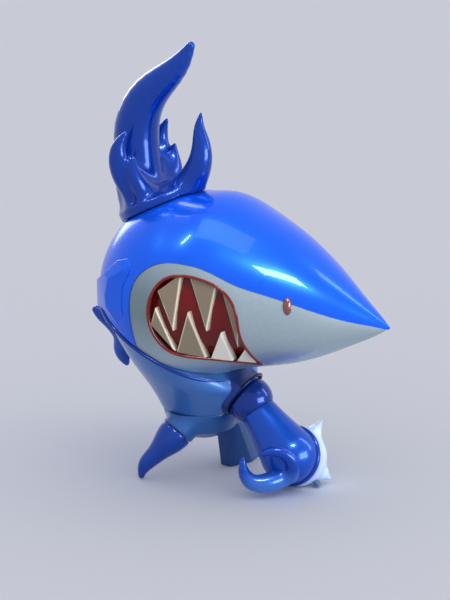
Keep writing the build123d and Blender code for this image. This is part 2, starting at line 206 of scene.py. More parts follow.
def cubicAt(t, values, at, startSlope=None):
    t, values, at = np.asarray(t, float), np.asarray(values, float), np.asarray(at, float)
    if values.ndim == 1:
        values = values[:, None]
    n = len(t)
    h = np.diff(t)
    a, b = np.zeros((n, n)), np.zeros(values.shape)
    a[0, 0] = a[-1, -1] = 1
    for i in range(1, n - 1):
        a[i, i - 1:i + 2] = h[i - 1], 2 * (h[i - 1] + h[i]), h[i]
        b[i] = 6 * ((values[i + 1] - values[i]) / h[i] - (values[i] - values[i - 1]) / h[i - 1])
    if startSlope is not None:
        a[0, :2] = 2 * h[0], h[0]
        b[0] = 6 * ((values[1] - values[0]) / h[0] - np.asarray(startSlope))
    m = np.linalg.solve(a, b)
    k = np.clip(np.searchsorted(t, at) - 1, 0, n - 2)
    left, right, width = at - t[k], t[k + 1] - at, h[k]
    left, right, width = left[:, None], right[:, None], width[:, None]
    bend = (m[k] * right ** 3 + m[k + 1] * left ** 3) / (6 * width)
    return (bend + (values[k] / width - m[k] * width / 6) * right
            + (values[k + 1] / width - m[k + 1] * width / 6) * left)


# soft moulded forms: blended balls along curves, skinned on a grid
def hornChain(path, count=44):
    line = splineThrough([(*point, radius) for point, radius in path], count)
    line[:, 3] = np.maximum(line[:, 3], 0.25)
    return line


def blendFields(one, two, width):
    mix = np.clip(0.5 + 0.5 * (two - one) / width, 0, 1)
    return two * (1 - mix) + one * mix - width * mix * (1 - mix)


def skin(name, field, low, high, step):
    low, high = np.asarray(low, float), np.asarray(high, float)
    shape = np.ceil((high - low) / step).astype(int) + 1
    axes = [low[i] + step * np.arange(shape[i]) for i in range(3)]
    grid = np.stack(np.meshgrid(*axes, indexing="ij"), axis=-1)
    value = field(grid.reshape(-1, 3)).reshape(shape)
    cells = shape - 1
    total, count = np.zeros((*cells, 3)), np.zeros(cells)
    corners = [(a, b, c) for a in (0, 1) for b in (0, 1) for c in (0, 1)]

    def part(array, corner):
        return array[corner[0]:corner[0] + cells[0], corner[1]:corner[1] + cells[1],
            corner[2]:corner[2] + cells[2]]

    for corner in corners:
        for axis in range(3):
            if corner[axis]:
                continue
            other = tuple(c + (1 if i == axis else 0) for i, c in enumerate(corner))
            a, b = part(value, corner), part(value, other)
            crossed = (a < 0) != (b < 0)
            share = np.where(crossed, a / np.where(crossed, a - b, 1), 0)
            spot = np.broadcast_to(np.array(corner, float), total.shape).copy()
            spot[..., axis] += share
            total += spot * crossed[..., None]
            count += crossed
    active = count > 0
    index = np.full(cells, -1)
    index[active] = np.arange(active.sum())
    place = np.argwhere(active) + total[active] / count[active][:, None]
    verts = low + place * step
    faces = []
    for axis in range(3):
        b, c = [(1, 2), (2, 0), (0, 1)][axis]
        a0 = np.take(value, range(0, shape[axis] - 1), axis=axis) < 0
        a1 = np.take(value, range(1, shape[axis]), axis=axis) < 0
        for flip, mask in ((False, a0 & ~a1), (True, ~a0 & a1)):
            spots = np.argwhere(mask)
            spots = spots[(spots[:, b] > 0) & (spots[:, c] > 0) & (spots[:, b] < cells[b])
                & (spots[:, c] < cells[c])]
            ring = []
            for db, dc in ((1, 1), (0, 1), (0, 0), (1, 0)):
                cell = spots.copy()
                cell[:, b] -= db
                cell[:, c] -= dc
                ring.append(index[cell[:, 0], cell[:, 1], cell[:, 2]])
            quad = np.stack(ring, axis=1)
            faces.append(quad[:, ::-1] if flip else quad)
    faces = np.concatenate(faces)
    faces = faces[(faces >= 0).all(axis=1)]
    return makeObject(name, verts, faces)


def relax(piece, rounds, factor=0.5):
    modifier = piece.modifiers.new("relax", "SMOOTH")
    modifier.factor = factor
    modifier.iterations = rounds
    applyModifiers(piece)
    piece.data.shade_smooth()
    return piece


# shader groups
def newGroup(name, inputs, outputs):
    group = bpy.data.node_groups.new(name, "ShaderNodeTree")
    for label, kind, value in inputs:
        socket = group.interface.new_socket(label, in_out="INPUT", socket_type=kind)
        socket.default_value = value
    for label, kind in outputs:
        group.interface.new_socket(label, in_out="OUTPUT", socket_type=kind)
    return group, group.nodes.new("NodeGroupInput"), group.nodes.new("NodeGroupOutput")


def makeVinylSurface():
    group, enter, leave = newGroup("sprayedVinyl", [
        ("Flake Size", "NodeSocketFloat", 1500.0), ("Flake Strength", "NodeSocketFloat", 0.15),
        ("Ripple Size", "NodeSocketFloat", 90.0), ("Ripple Strength", "NodeSocketFloat", 0.05),
        ("Drift", "NodeSocketFloat", 0.1)],
        [("Tint", "NodeSocketFloat"), ("Rough Change", "NodeSocketFloat"), ("Normal", "NodeSocketVector")])
    nodes, links = group.nodes, group.links
    spot = nodes.new("ShaderNodeTexCoord")
    flake = nodes.new("ShaderNodeTexVoronoi")
    links.new(spot.outputs["Object"], flake.inputs["Vector"])
    links.new(enter.outputs["Flake Size"], flake.inputs["Scale"])
    drift = nodes.new("ShaderNodeTexNoise")
    drift.inputs["Scale"].default_value = 28
    drift.inputs["Detail"].default_value = 3
    links.new(spot.outputs["Object"], drift.inputs["Vector"])
    grey = nodes.new("ShaderNodeSeparateColor")
    links.new(flake.outputs["Color"], grey.inputs["Color"])

    def centred(source, strength):
        shift = nodes.new("ShaderNodeMath")
        shift.operation = "SUBTRACT"
        links.new(source, shift.inputs[0])
        shift.inputs[1].default_value = 0.5
        scale = nodes.new("ShaderNodeMath")
        scale.operation = "MULTIPLY"
        links.new(shift.outputs[0], scale.inputs[0])
        links.new(strength, scale.inputs[1])
        return scale.outputs[0]

    flakePart = centred(grey.outputs["Red"], enter.outputs["Flake Strength"])
    driftPart = centred(drift.outputs["Fac"], enter.outputs["Drift"])
    both = nodes.new("ShaderNodeMath")
    links.new(flakePart, both.inputs[0])
    links.new(driftPart, both.inputs[1])
    tint = nodes.new("ShaderNodeMath")
    links.new(both.outputs[0], tint.inputs[0])
    tint.inputs[1].default_value = 0.5
    links.new(tint.outputs[0], leave.inputs["Tint"])
    links.new(driftPart, leave.inputs["Rough Change"])
    ripple = nodes.new("ShaderNodeTexNoise")
    ripple.inputs["Detail"].default_value = 1
    links.new(spot.outputs["Object"], ripple.inputs["Vector"])
    links.new(enter.outputs["Ripple Size"], ripple.inputs["Scale"])
    bump = nodes.new("ShaderNodeBump")
    bump.inputs["Distance"].default_value = 0.0004
    links.new(enter.outputs["Ripple Strength"], bump.inputs["Strength"])
    links.new(ripple.outputs["Fac"], bump.inputs["Height"])
    links.new(bump.outputs["Normal"], leave.inputs["Normal"])
    return group


vinylSurface = makeVinylSurface()


def paint(name, dark, light, metallic=0.0, roughness=0.3, coat=1.0, coatRoughness=0.03, flake=(1500, 0.15),
          ripple=(90, 0.05), drift=0.1, fade=None, specular=0.5):
    material = bpy.data.materials.new(name)
    material.use_nodes = True
    nodes, links = material.node_tree.nodes, material.node_tree.links
    shader = nodes["Principled BSDF"]
    surface = nodes.new("ShaderNodeGroup")
    surface.node_tree = vinylSurface
    surface.inputs["Flake Size"].default_value = flake[0]
    surface.inputs["Flake Strength"].default_value = flake[1]
    surface.inputs["Ripple Size"].default_value = ripple[0]
    surface.inputs["Ripple Strength"].default_value = ripple[1]
    surface.inputs["Drift"].default_value = drift
    mix = nodes.new("ShaderNodeMix")
    mix.data_type = "RGBA"
    mix.inputs[6].default_value = (*dark, 1)
    mix.inputs[7].default_value = (*light, 1)
    links.new(surface.outputs["Tint"], mix.inputs[0])
    colour = mix.outputs[2]
    if fade:
        mask = nodes.new("ShaderNodeAttribute")
        mask.attribute_name = fade[1]
        over = nodes.new("ShaderNodeMix")
        over.data_type = "RGBA"
        links.new(colour, over.inputs[6])
        over.inputs[7].default_value = (*fade[0], 1)
        links.new(mask.outputs["Fac"], over.inputs[0])
        colour = over.outputs[2]
    links.new(colour, shader.inputs["Base Color"])
    rough = nodes.new("ShaderNodeMath")
    rough.inputs[1].default_value = roughness
    links.new(surface.outputs["Rough Change"], rough.inputs[0])
    links.new(rough.outputs[0], shader.inputs["Roughness"])
    links.new(surface.outputs["Normal"], shader.inputs["Normal"])
    shader.inputs["Metallic"].default_value = metallic
    shader.inputs["Specular IOR Level"].default_value = specular
    shader.inputs["Coat Weight"].default_value = coat
    shader.inputs["Coat Roughness"].default_value = coatRoughness
    return material


finishTable = {
    "headBlue": {
        "dark": (0.0, 0.09, 0.72), "light": (0.0, 0.135, 0.96), "metallic": 0.5, "roughness": 0.27,
        "coat": 0.4, "specular": 0.25, "flake": (1400, 0.22),
    },
    "flameBlue": {
        "dark": (0.0, 0.024, 0.24), "light": (0.0, 0.06, 0.44), "metallic": 0.5, "roughness": 0.25,
        "coat": 0.45, "specular": 0.25, "flake": (1500, 0.25),
    },
    "bodyBlue": {
        "dark": (0.014, 0.09, 0.3), "light": (0.03, 0.13, 0.42), "metallic": 0.4, "roughness": 0.34,
        "coat": 0.5, "specular": 0.3, "flake": (1500, 0.22),
    },
    # torsoBlue: the fade colour is painted shade, darker around the shoulder cups
    "torsoBlue": {
        "dark": (0.03, 0.14, 0.42), "light": (0.055, 0.19, 0.56), "metallic": 0.35, "roughness": 0.36,
        "coat": 0.5, "specular": 0.3, "flake": (1500, 0.22), "fade": ((0.0, 0.03, 0.24), "cupPaintedShade"),
    },
    "armBlue": {
        "dark": (0.0, 0.048, 0.38), "light": (0.002, 0.09, 0.58), "metallic": 0.45, "roughness": 0.28,
        "coat": 0.45, "specular": 0.25, "flake": (1500, 0.22),
    },
    # curlBlue: the fade colour is a painted highlight, lighter blue on the curls
    "curlBlue": {
        "dark": (0.0, 0.036, 0.32), "light": (0.002, 0.07, 0.5), "metallic": 0.45, "roughness": 0.26,
        "coat": 0.5, "specular": 0.25, "flake": (1500, 0.22), "fade": ((0.08, 0.26, 0.78), "curlPaintedHighlight"),
    },
    # silver: the fade colour is painted shade, darker around the mouth ring
    "silver": {
        "dark": (0.36, 0.45, 0.5), "light": (0.48, 0.59, 0.65), "metallic": 0.75, "roughness": 0.4,
        "coat": 0.15, "coatRoughness": 0.2, "flake": (2600, 0.5), "ripple": (500, 0.1), "drift": 0.12,
        "fade": ((0.17, 0.24, 0.275), "ringPaintedShade"),
    },
    "gum": {
        "dark": (0.1, 0.001, 0.001), "light": (0.2, 0.004, 0.003), "roughness": 0.25, "coat": 0.3,
        "specular": 0.2, "flake": (700, 0.1), "ripple": (160, 0.12),
    },
    "lip": {
        "dark": (0.12, 0.001, 0.001), "light": (0.22, 0.004, 0.003), "roughness": 0.22, "coat": 0.5,
        "specular": 0.3, "flake": (700, 0.1), "ripple": (160, 0.08),
    },
    # tooth and frontTooth: the fade colour is a painted highlight on the chamfered edges
    "tooth": {
        "dark": (0.21, 0.165, 0.11), "light": (0.29, 0.235, 0.165), "metallic": 0.25,
        "roughness": 0.32, "coat": 0.3, "specular": 0.3, "flake": (1800, 0.2), "ripple": (220, 0.08),
        "fade": ((0.84, 0.78, 0.62), "toothEdgeHighlight"),
    },
    "frontTooth": {
        "dark": (0.7, 0.66, 0.56), "light": (0.86, 0.83, 0.74), "metallic": 0.05, "roughness": 0.3,
        "coat": 0.4, "specular": 0.3, "flake": (1800, 0.15), "ripple": (220, 0.08),
        "fade": ((0.9, 0.88, 0.78), "toothEdgeHighlight"),
    },
    "copper": {
        "dark": (0.2, 0.07, 0.055), "light": (0.38, 0.15, 0.12), "metallic": 0.85, "roughness": 0.22,
        "flake": (1800, 0.5),
    },
    "glove": {
        "dark": (0.47, 0.61, 0.94), "light": (0.62, 0.76, 1.0), "metallic": 0.1, "roughness": 0.3,
        "coat": 0.6, "specular": 0.3, "flake": (1600, 0.15), "fade": ((0.06, 0.2, 0.82), "cuffFade"),
    },
    "darkTab": {
        "dark": (0.03, 0.07, 0.2), "light": (0.06, 0.12, 0.3), "roughness": 0.35, "coat": 0.4,
        "flake": (1500, 0.1),
    },
    "inner": {
        "dark": (0.02, 0.05, 0.22), "light": (0.03, 0.08, 0.3), "roughness": 0.5, "coat": 0.2,
        "flake": (1500, 0.1),
    },
    # a darker blue that stands in for shade: the shoulder balls sitting in their cups, and the neck bead
    # (painted shade)
    "shadeBlue": {
        "dark": (0.0, 0.02, 0.22), "light": (0.0, 0.042, 0.34), "metallic": 0.5, "roughness": 0.25,
        "coat": 0.5, "specular": 0.25, "flake": (1500, 0.22),
    },
    "tailBlue": {
        "dark": (0.0, 0.028, 0.25), "light": (0.002, 0.06, 0.4), "metallic": 0.45, "roughness": 0.26,
        "coat": 0.5, "specular": 0.25, "flake": (1500, 0.22),
    },
    "footBlue": {
        "dark": (0.008, 0.055, 0.21), "light": (0.014, 0.09, 0.31), "metallic": 0.3, "roughness": 0.36,
        "coat": 0.4, "specular": 0.3, "flake": (1500, 0.2),
    },
    "rimBlack": {
        "dark": (0.001, 0.003, 0.04), "light": (0.001, 0.008, 0.09), "roughness": 0.3, "coat": 0.3,
        "specular": 0.2, "flake": (1500, 0.1),
    },
}
finishes = {name: paint(name, **look) for name, look in finishTable.items()}
print("finishes made")


def finishPiece(piece, finish, body, nodes):
    piece.data.materials.clear()
    piece.data.materials.append(finishes[finish])
    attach(piece, body)
    if nodes:
        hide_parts(*nodes)
    return piece


def setMask(piece, name, values):
    layer = piece.data.attributes.get(name) or piece.data.attributes.new(name, "FLOAT", "POINT")
    layer.data.foreach_set("value", np.asarray(values, dtype=np.float32))


def vertsOf(piece):
    co = np.empty(len(piece.data.vertices) * 3)
    piece.data.vertices.foreach_get("co", co)
    return co.reshape(-1, 3) / mm


# head
head = {
    "radius": 51.0, "reach": 109.7, "share": [0, 0.14, 0.323, 0.537, 0.747, 0.851, 0.958, 1.0],
    "top": [1.0, 1.018, 0.888, 0.651, 0.324, 0.143, -0.037, -0.112],
    "bottom": [1.0, 0.863, 0.712, 0.606, 0.425, 0.314, 0.188, 0.124],
    "width": [1.0, 0.961, 0.843, 0.657, 0.402, 0.245, 0.082, 0.006], "columns": 224, "rows": 210,
    "muzzleInset": 0.45, "shell": 3.2,
    "muzzleLine": [
        (-0.093, -0.41), (-0.103, -0.08), (-0.103, 0.073), (-0.073, 0.288), (0.015, 0.445),
        (0.138, 0.482), (0.256, 0.435), (0.395, 0.306), (0.524, 0.218), (0.707, 0.071), (0.861, -0.05),
        (0.97, -0.115), (1.03, -0.17)],
    "mouthLine": [
        (0.438, -0.578), (0.427, -0.416), (0.412, -0.216), (0.404, 0.053), (0.357, 0.227), (0.263, 0.341),
        (0.163, 0.376), (0.077, 0.331), (0.021, 0.192), (-0.001, -0.043), (0.028, -0.28), (0.088, -0.441),
        (0.197, -0.51), (0.349, -0.551)]}
headTable = np.array([head["share"], head["top"], head["bottom"], head["width"]]).T


def headSection(x, inset=0.0):
    x = np.atleast_1d(np.asarray(x, float))
    radius, reach = head["radius"], head["reach"]
    share = np.clip(x / reach, 0, 1)
    rows = cubicAt(headTable[:, 0], headTable[:, 1:], share, startSlope=(0.0, 0.0, 0.0))
    level = (rows[:, 0] - rows[:, 1]) / 2 * radius
    half = (rows[:, 0] + rows[:, 1]) / 2 * radius - inset
    width = rows[:, 2] * radius - inset
    back = x < 0
    ball = np.sqrt(np.maximum((radius - inset) ** 2 - x ** 2, 1e-4))
    level = np.where(back, 0, level)
    half = np.where(back, ball, half)
    width = np.where(back, ball, width)
    return level, np.maximum(half, 0.02), np.maximum(width, 0.02)


def headSurface(x, z, side, inset=0.0):
    level, half, width = headSection(x, inset)
    across = width * np.sqrt(np.clip(1 - ((z - level) / half) ** 2, 0, 1))
    return np.stack([x, side * across, z], axis=-1) + headCentre


def headForm(name, inset):
    radius, reach = head["radius"] - inset, head["reach"]
    angles = np.linspace(math.pi, math.pi / 2, 70)[1:]
    back = np.cos(angles) * radius
    ahead = np.linspace(0, 1, head["rows"] - 70)[1:]
    endAt = reach if inset == 0 else reach * (1 - inset * 0.012) - inset * 1.2
    front = endAt * (1 - (1 - ahead) ** 1.25)
    stations = np.concatenate([back, front[:-1], [endAt - 0.05]])
    turns = np.linspace(0, 2 * math.pi, head["columns"], endpoint=False)
    level, half, width = headSection(stations, inset)
    rings = [np.stack([np.full_like(turns, x), w * np.cos(turns), l + h * np.sin(turns)],
        axis=1) + headCentre for x, l, h, w in zip(stations, level, half, width)]
    return tube(name, rings)


def sideView(points):
    points = np.asarray(points)
    return np.stack([points[:, 0] * head["reach"], points[:, 1] * head["radius"]], axis=1)


def outlineCutter(name, outline, low, high):
    flat = np.asarray(outline)
    rings = []
    for y in (low, high):
        rings.append(np.stack([flat[:, 0], np.full(len(flat), y), flat[:, 1]], axis=1) + headCentre)
    count = len(flat)
    verts = np.concatenate(rings)
    faces = [tuple(range(count)), tuple(range(2 * count - 1, count - 1, -1))]
    faces += [(i, i + count, (i + 1) % count + count, (i + 1) % count) for i in range(count)]
    piece = makeObject(name, verts, faces, smooth=False)
    recalcNormals(piece)
    return piece


def growOutline(outline, distance):
    tangent = np.roll(outline, -1, axis=0) - np.roll(outline, 1, axis=0)
    normal = np.stack([tangent[:, 1], -tangent[:, 0]], axis=1)
    normal /= np.maximum(np.linalg.norm(normal, axis=1), 1e-6)[:, None]
    x, z = outline[:, 0], outline[:, 1]
    area = np.sum(x * np.roll(z, -1) - np.roll(x, -1) * z)
    return outline + normal * distance * (1 if area > 0 else -1)


boxFaces = [(0, 3, 2, 1), (4, 5, 6, 7), (0, 1, 5, 4), (1, 2, 6, 5), (2, 3, 7, 6), (3, 0, 4, 7)]


def boxBelow(name, origin, axis, size=200):
    across, up = sideAxes(axis)
    axis = unit(axis)
    verts = []
    for along in (0, size):
        for a, b in ((-1, -1), (1, -1), (1, 1), (-1, 1)):
            verts.append(np.asarray(origin) + axis * along + (across * a + up * b) * size)
    piece = makeObject(name, verts, boxFaces, smooth=False)
    recalcNormals(piece)
    return piece


neckPlace, neckAxis = jointPlace("neck_swivel")
mouthOutline = splineThrough(sideView(head["mouthLine"] + [head["mouthLine"][0]]), 150)[:-1]
muzzleCurve = splineThrough(sideView(head["muzzleLine"]), 130)
muzzleOutline = np.concatenate([muzzleCurve, [(muzzleCurve[-1][0] + 6, -90), (muzzleCurve[0][0], -90)]])


def shellOf(name, inset, thickness):
    outer, inner = headForm(name, inset), headForm("inner", inset + thickness)
    inner.data.flip_normals()
    work = bmesh.new()
    work.from_mesh(outer.data)
    work.from_mesh(inner.data)
    work.to_mesh(outer.data)
    work.free()
    dropObject(inner)
    return outer


def makeHead():
    belowNeck = boxBelow("belowNeck", neckPlace + neckAxis * 0.3, -neckAxis)
    crown = shellOf("headCrown", 0.0, head["shell"])
    carve(crown, outlineCutter("muzzleTool", muzzleOutline, -90, 90))
    carve(crown, belowNeck, keepTool=True)
    softenEdges(crown, 0.5, 50, 3)
    finishPiece(shadeByAngle(crown, 30), "headBlue", "head", ["head_crown"])

    muzzle = shellOf("muzzleShell", head["muzzleInset"], head["shell"])
    carve(muzzle, outlineCutter("muzzleTool", growOutline(muzzleOutline, -0.02), -90, 90), "INTERSECT")
    carve(muzzle, belowNeck)
    for side in (-1, 1):
        low, high = sorted((side * 2, side * 90))
        carve(muzzle, outlineCutter("mouthTool", mouthOutline, low, high))
    softenEdges(muzzle, 0.45, 50, 3)
    # painted shade: the silver darkens towards the back of the muzzle around the mouth ring, fading out
    # under the chin and towards the brow
    local = vertsOf(muzzle) - headCentre
    behind = np.clip((48 - local[:, 0]) / 50, 0, 1)
    aboveChin = np.clip((local[:, 2] + 30) / 26, 0, 1)
    belowBrow = np.clip((44 - local[:, 2]) / 36, 0.35, 1)
    paintedShade = behind * aboveChin * belowBrow
    setMask(muzzle, "ringPaintedShade", paintedShade * 0.85)
    finishPiece(shadeByAngle(muzzle, 30), "silver", "head", ["muzzle_shell"])
    print("head shells made")


mouth = {"lip": 0.8, "linerFrom": 3.3, "pocket": 5.0, "backing": 7.5, "spread": 2.2, "lipInset": 0.15}


def lipTree():
    tree = bpy.data.node_groups.new("lipBead", "GeometryNodeTree")
    tree.interface.new_socket("Geometry", in_out="INPUT", socket_type="NodeSocketGeometry")
    radius = tree.interface.new_socket("Bead Radius", in_out="INPUT", socket_type="NodeSocketFloat")
    radius.default_value = mouth["lip"] * mm
    material = tree.interface.new_socket("Finish", in_out="INPUT", socket_type="NodeSocketMaterial")
    tree.interface.new_socket("Geometry", in_out="OUTPUT", socket_type="NodeSocketGeometry")
    nodes, links = tree.nodes, tree.links
    enter, leave = nodes.new("NodeGroupInput"), nodes.new("NodeGroupOutput")
    curve = nodes.new("GeometryNodeMeshToCurve")
    circle = nodes.new("GeometryNodeCurvePrimitiveCircle")
    circle.inputs["Resolution"].default_value = 16
    sweep = nodes.new("GeometryNodeCurveToMesh")
    real = nodes.new("GeometryNodeRealizeInstances")
    smooth = nodes.new("GeometryNodeSetShadeSmooth")
    finish = nodes.new("GeometryNodeSetMaterial")
    links.new(enter.outputs["Geometry"], curve.inputs["Mesh"])
    links.new(enter.outputs["Bead Radius"], circle.inputs["Radius"])
    links.new(curve.outputs["Curve"], sweep.inputs["Curve"])
    links.new(circle.outputs["Curve"], sweep.inputs["Profile Curve"])
    links.new(sweep.outputs["Mesh"], real.inputs["Geometry"])
    links.new(real.outputs["Geometry"], smooth.inputs["Geometry"])
    links.new(smooth.outputs["Geometry"], finish.inputs["Geometry"])
    links.new(enter.outputs["Finish"], finish.inputs["Material"])
    links.new(finish.outputs["Geometry"], leave.inputs["Geometry"])
    return tree, radius.identifier, material.identifier


def makeMouths():
    tree, radiusId, finishId = lipTree()
    for side, label in ((-1, "Right"), (1, "Left")):
        name = label.lower()
        liner = headForm("mouthLiner" + label, mouth["linerFrom"])
        low, high = sorted((side * 2.5, side * 90))
        carve(liner, outlineCutter("tool", growOutline(mouthOutline, mouth["spread"]), low, high),
            "INTERSECT")
        core = headForm("core", mouth["backing"])
        carve(liner, core)
        pocket = outlineCutter("pocket", growOutline(mouthOutline, 0.3), low, high)
        carve(pocket, headForm("floor", mouth["pocket"]))
        carve(liner, pocket)
        finishPiece(shadeByAngle(liner, 35), "gum", "head", ["mouth_liner_" + name])

        path = headSurface(mouthOutline[:, 0], mouthOutline[:, 1], side,
            head["muzzleInset"] + mouth["lipInset"])
        inside = growOutline(mouthOutline, -0.35)
        path[:, 0], path[:, 2] = inside[:, 0] + headCentre[0], inside[:, 1] + headCentre[2]
        lip = makeObject("lipBead" + label, path, [])
        lip.data.edges.add(len(path))
        lip.data.edges.foreach_set("vertices",
            [i for k in range(len(path)) for i in (k, (k + 1) % len(path))])
        lip.data.update()
        modifier = lip.modifiers.new("sweep", "NODES")
        modifier.node_group = tree
        modifier[radiusId] = mouth["lip"] * mm
        modifier[finishId] = finishes["lip"]
        applyModifiers(lip)
        recalcNormals(lip)
        lip.data.shade_smooth()
        finishPiece(lip, "lip", "head", [])
    print("mouths made")


teeth = {
    "upper": [((0.046, 0.20), (0.151, 0.385), (0.115, -0.19)),
        ((0.183, 0.40), (0.311, 0.30), (0.263, -0.175)), ((0.335, 0.265), (0.413, 0.06), (0.381, -0.34))],
    "lower": [
        ((0.012, -0.14), (0.102, -0.42), (0.038, 0.035)), ((0.108, -0.43), (0.218, -0.50), (0.191, 0.02)),
        ((0.234, -0.51), (0.324, -0.53), (0.326, -0.18)),
        ((0.340, -0.53), (0.415, -0.55), (0.407, -0.37))], "front": 0.9, "back": 5.2, "chamfer": 0.55,
    "slope": 0.45, "steps": 30, "frontFrom": 2}


def toothMesh(corners, side):
    a, b, tip = [np.array([c[0] * head["reach"], c[1] * head["radius"]]) for c in corners]
    steps = teeth["steps"]
    rows = []
    for i in range(steps + 1):
        t = i / steps
        narrow = t - 0.03 * math.sin(math.pi * t)
        left, right = a + (tip - a) * narrow, b + (tip - b) * narrow
        rows.append([left + (right - left) * s for s in np.linspace(0, 1, steps + 1)])
    flat = np.array(rows)
    edgeOne, edgeTwo = tip - a, tip - b

    def away(points, start, edge):
        n = np.array([edge[1], -edge[0]]) / np.linalg.norm(edge)
        return np.abs((points - start) @ n)

    near = np.minimum(away(flat, a, edgeOne), away(flat, b, edgeTwo))
    depth = teeth["front"] + teeth["slope"] * np.clip(1 - near / teeth["chamfer"], 0, 1)
    # painted highlight: the chamfered edges are lightened as if catching the light
    paintedHighlight = np.clip(1.3 - near / teeth["chamfer"], 0, 1)
    count = (steps + 1) ** 2
    flat2, depth2 = flat.reshape(-1, 2), depth.reshape(-1)
    ends = np.array([a, b, tip])
    level, half, width = headSection(ends[:, 0], 0)
    cornerOut = width * np.sqrt(np.clip(1 - ((ends[:, 1] - level) / half) ** 2, 0.02, 1))
    plane = np.linalg.solve(np.column_stack([ends, np.ones(3)]), cornerOut)
    across = flat2 @ plane[:2] + plane[2]
    front = np.stack([flat2[:, 0], side * (across - depth2), flat2[:, 1]], axis=1) + headCentre
    back = np.stack([flat2[:, 0], side * (across - teeth["back"]), flat2[:, 1]], axis=1) + headCentre
    verts = np.concatenate([front, back])
    n = steps + 1
    faces = []
    for i in range(steps):
        for j in range(steps):
            quad = (i * n + j, i * n + j + 1, (i + 1) * n + j + 1, (i + 1) * n + j)
            faces.append(quad)
            faces.append(tuple(q + count for q in reversed(quad)))
    border = ([(0, j) for j in range(n)] + [(i, n - 1) for i in range(1, n)]
        + [(n - 1, j) for j in range(n - 2, -1, -1)] + [(i, 0) for i in range(n - 2, 0, -1)])
    ring = [i * n + j for i, j in border]
    for k, q in enumerate(ring):
        r = ring[(k + 1) % len(ring)]
        faces.append((q, q + count, r + count, r))
    return verts, faces, np.concatenate([paintedHighlight.reshape(-1), np.zeros(count)])


def makeTeeth():
    for side, label in ((-1, "Right"), (1, "Left")):
        for row in ("upper", "lower"):
            groups = {"tooth": [], "frontTooth": []}
            for i, corners in enumerate(teeth[row]):
                atFront = row == "lower" and i >= teeth["frontFrom"]
                groups["frontTooth" if atFront else "tooth"].append(corners)
            for finish, members in groups.items():
                if not members:
                    continue
                verts, faces, paintedHighlight, base = [], [], [], 0
                for corners in members:
                    v, f, g = toothMesh(corners, side)
                    verts.append(v)
                    paintedHighlight.append(g)
                    faces += [tuple(q + base for q in face) for face in f]
                    base += len(v)
                piece = makeObject(row + ("Front" if finish == "frontTooth" else "") + "Teeth" + label,
                    np.concatenate(verts), faces)
                setMask(piece, "toothEdgeHighlight", np.concatenate(paintedHighlight))
                recalcNormals(piece)
                shadeByAngle(piece, 35)
                finishPiece(piece, finish, "head", [row + "_teeth_" + label.lower()])
    print("teeth made")


eye = {"spot": (0.611, 0.112), "radius": 2.3, "half": 4.6, "out": 27.9}


def makeEyes():
    for side, label in ((-1, "Right"), (1, "Left")):
        centre = headCentre + np.array(
            [eye["spot"][0] * head["reach"], side * eye["out"], eye["spot"][1] * head["radius"]])
        profile = [(math.sin(t) * eye["half"], math.cos(t) * eye["radius"])
            for t in np.linspace(-math.pi / 2, math.pi / 2, 41)]
        bead = lathe("eyeBead" + label, centre, (0, 0, 1), profile, 48)
        finishPiece(bead, "copper", "head", ["eye_" + label.lower()])


gill = {
    "outer": [(-15.9, 23.1, 0.4), (-22.8, 21.0, 1.6), (-31.5, 13.2, 2.4), (-42.5, 6.1, 1.8),
        (-42.5, -6.9, 1.8), (-34, -14, 0.6)],
    "ridge": [(-12.2, 20.6, 0.2), (-16, 18, 2.2), (-26.6, 11.8, 2.6), (-28.5, 3.0, 2.4),
        (-27.9, -3.0, 2.4), (-14, -19, 0.5)],
    "inner": [(-12.2, 20.0, -0.6), (-13, 16, 0.4), (-16, 9.8, 0.5), (-16.5, 3, 0.5), (-16, -4.0, 0.5),
        (-12.4, -18, -0.4)]}


def makeGills():
    for side, label in ((-1, "Right"), (1, "Left")):
        loops = []
        for key, sink in (("outer", 3.0), ("outer", 0), ("ridge", 0), ("inner", 0), ("inner", 3.0)):
            ring = []
            for x, z, lift in gill[key]:
                reachOut = head["radius"] + lift - sink
                y = math.sqrt(max(reachOut ** 2 - x ** 2 - z ** 2, 4))
                ring.append(headCentre + np.array([x, side * y, z]))
            loops.append(ring)
        rows, columns = len(loops), len(loops[0])
        verts = [v for ring in loops for v in ring]
        faces = [(i * columns + j, i * columns + j + 1, (i + 1) * columns + j + 1, (i + 1) * columns + j)
                 for i in range(rows - 1) for j in range(columns - 1)]
        last = (rows - 1) * columns
        faces += [(last + j, last + j + 1, j + 1, j) for j in range(columns - 1)]
        faces += [tuple(i * columns for i in range(rows)),
            tuple(i * columns + columns - 1 for i in range(rows - 1, -1, -1))]
        plate = makeObject("gillPlate" + label, verts, faces, smooth=False)
        recalcNormals(plate)
        softenEdges(plate, 0.5, 8, 3)
        finishPiece(shadeByAngle(plate, 12), "headBlue", "head", [])


makeHead()
makeMouths()
makeTeeth()
makeEyes()
makeGills()

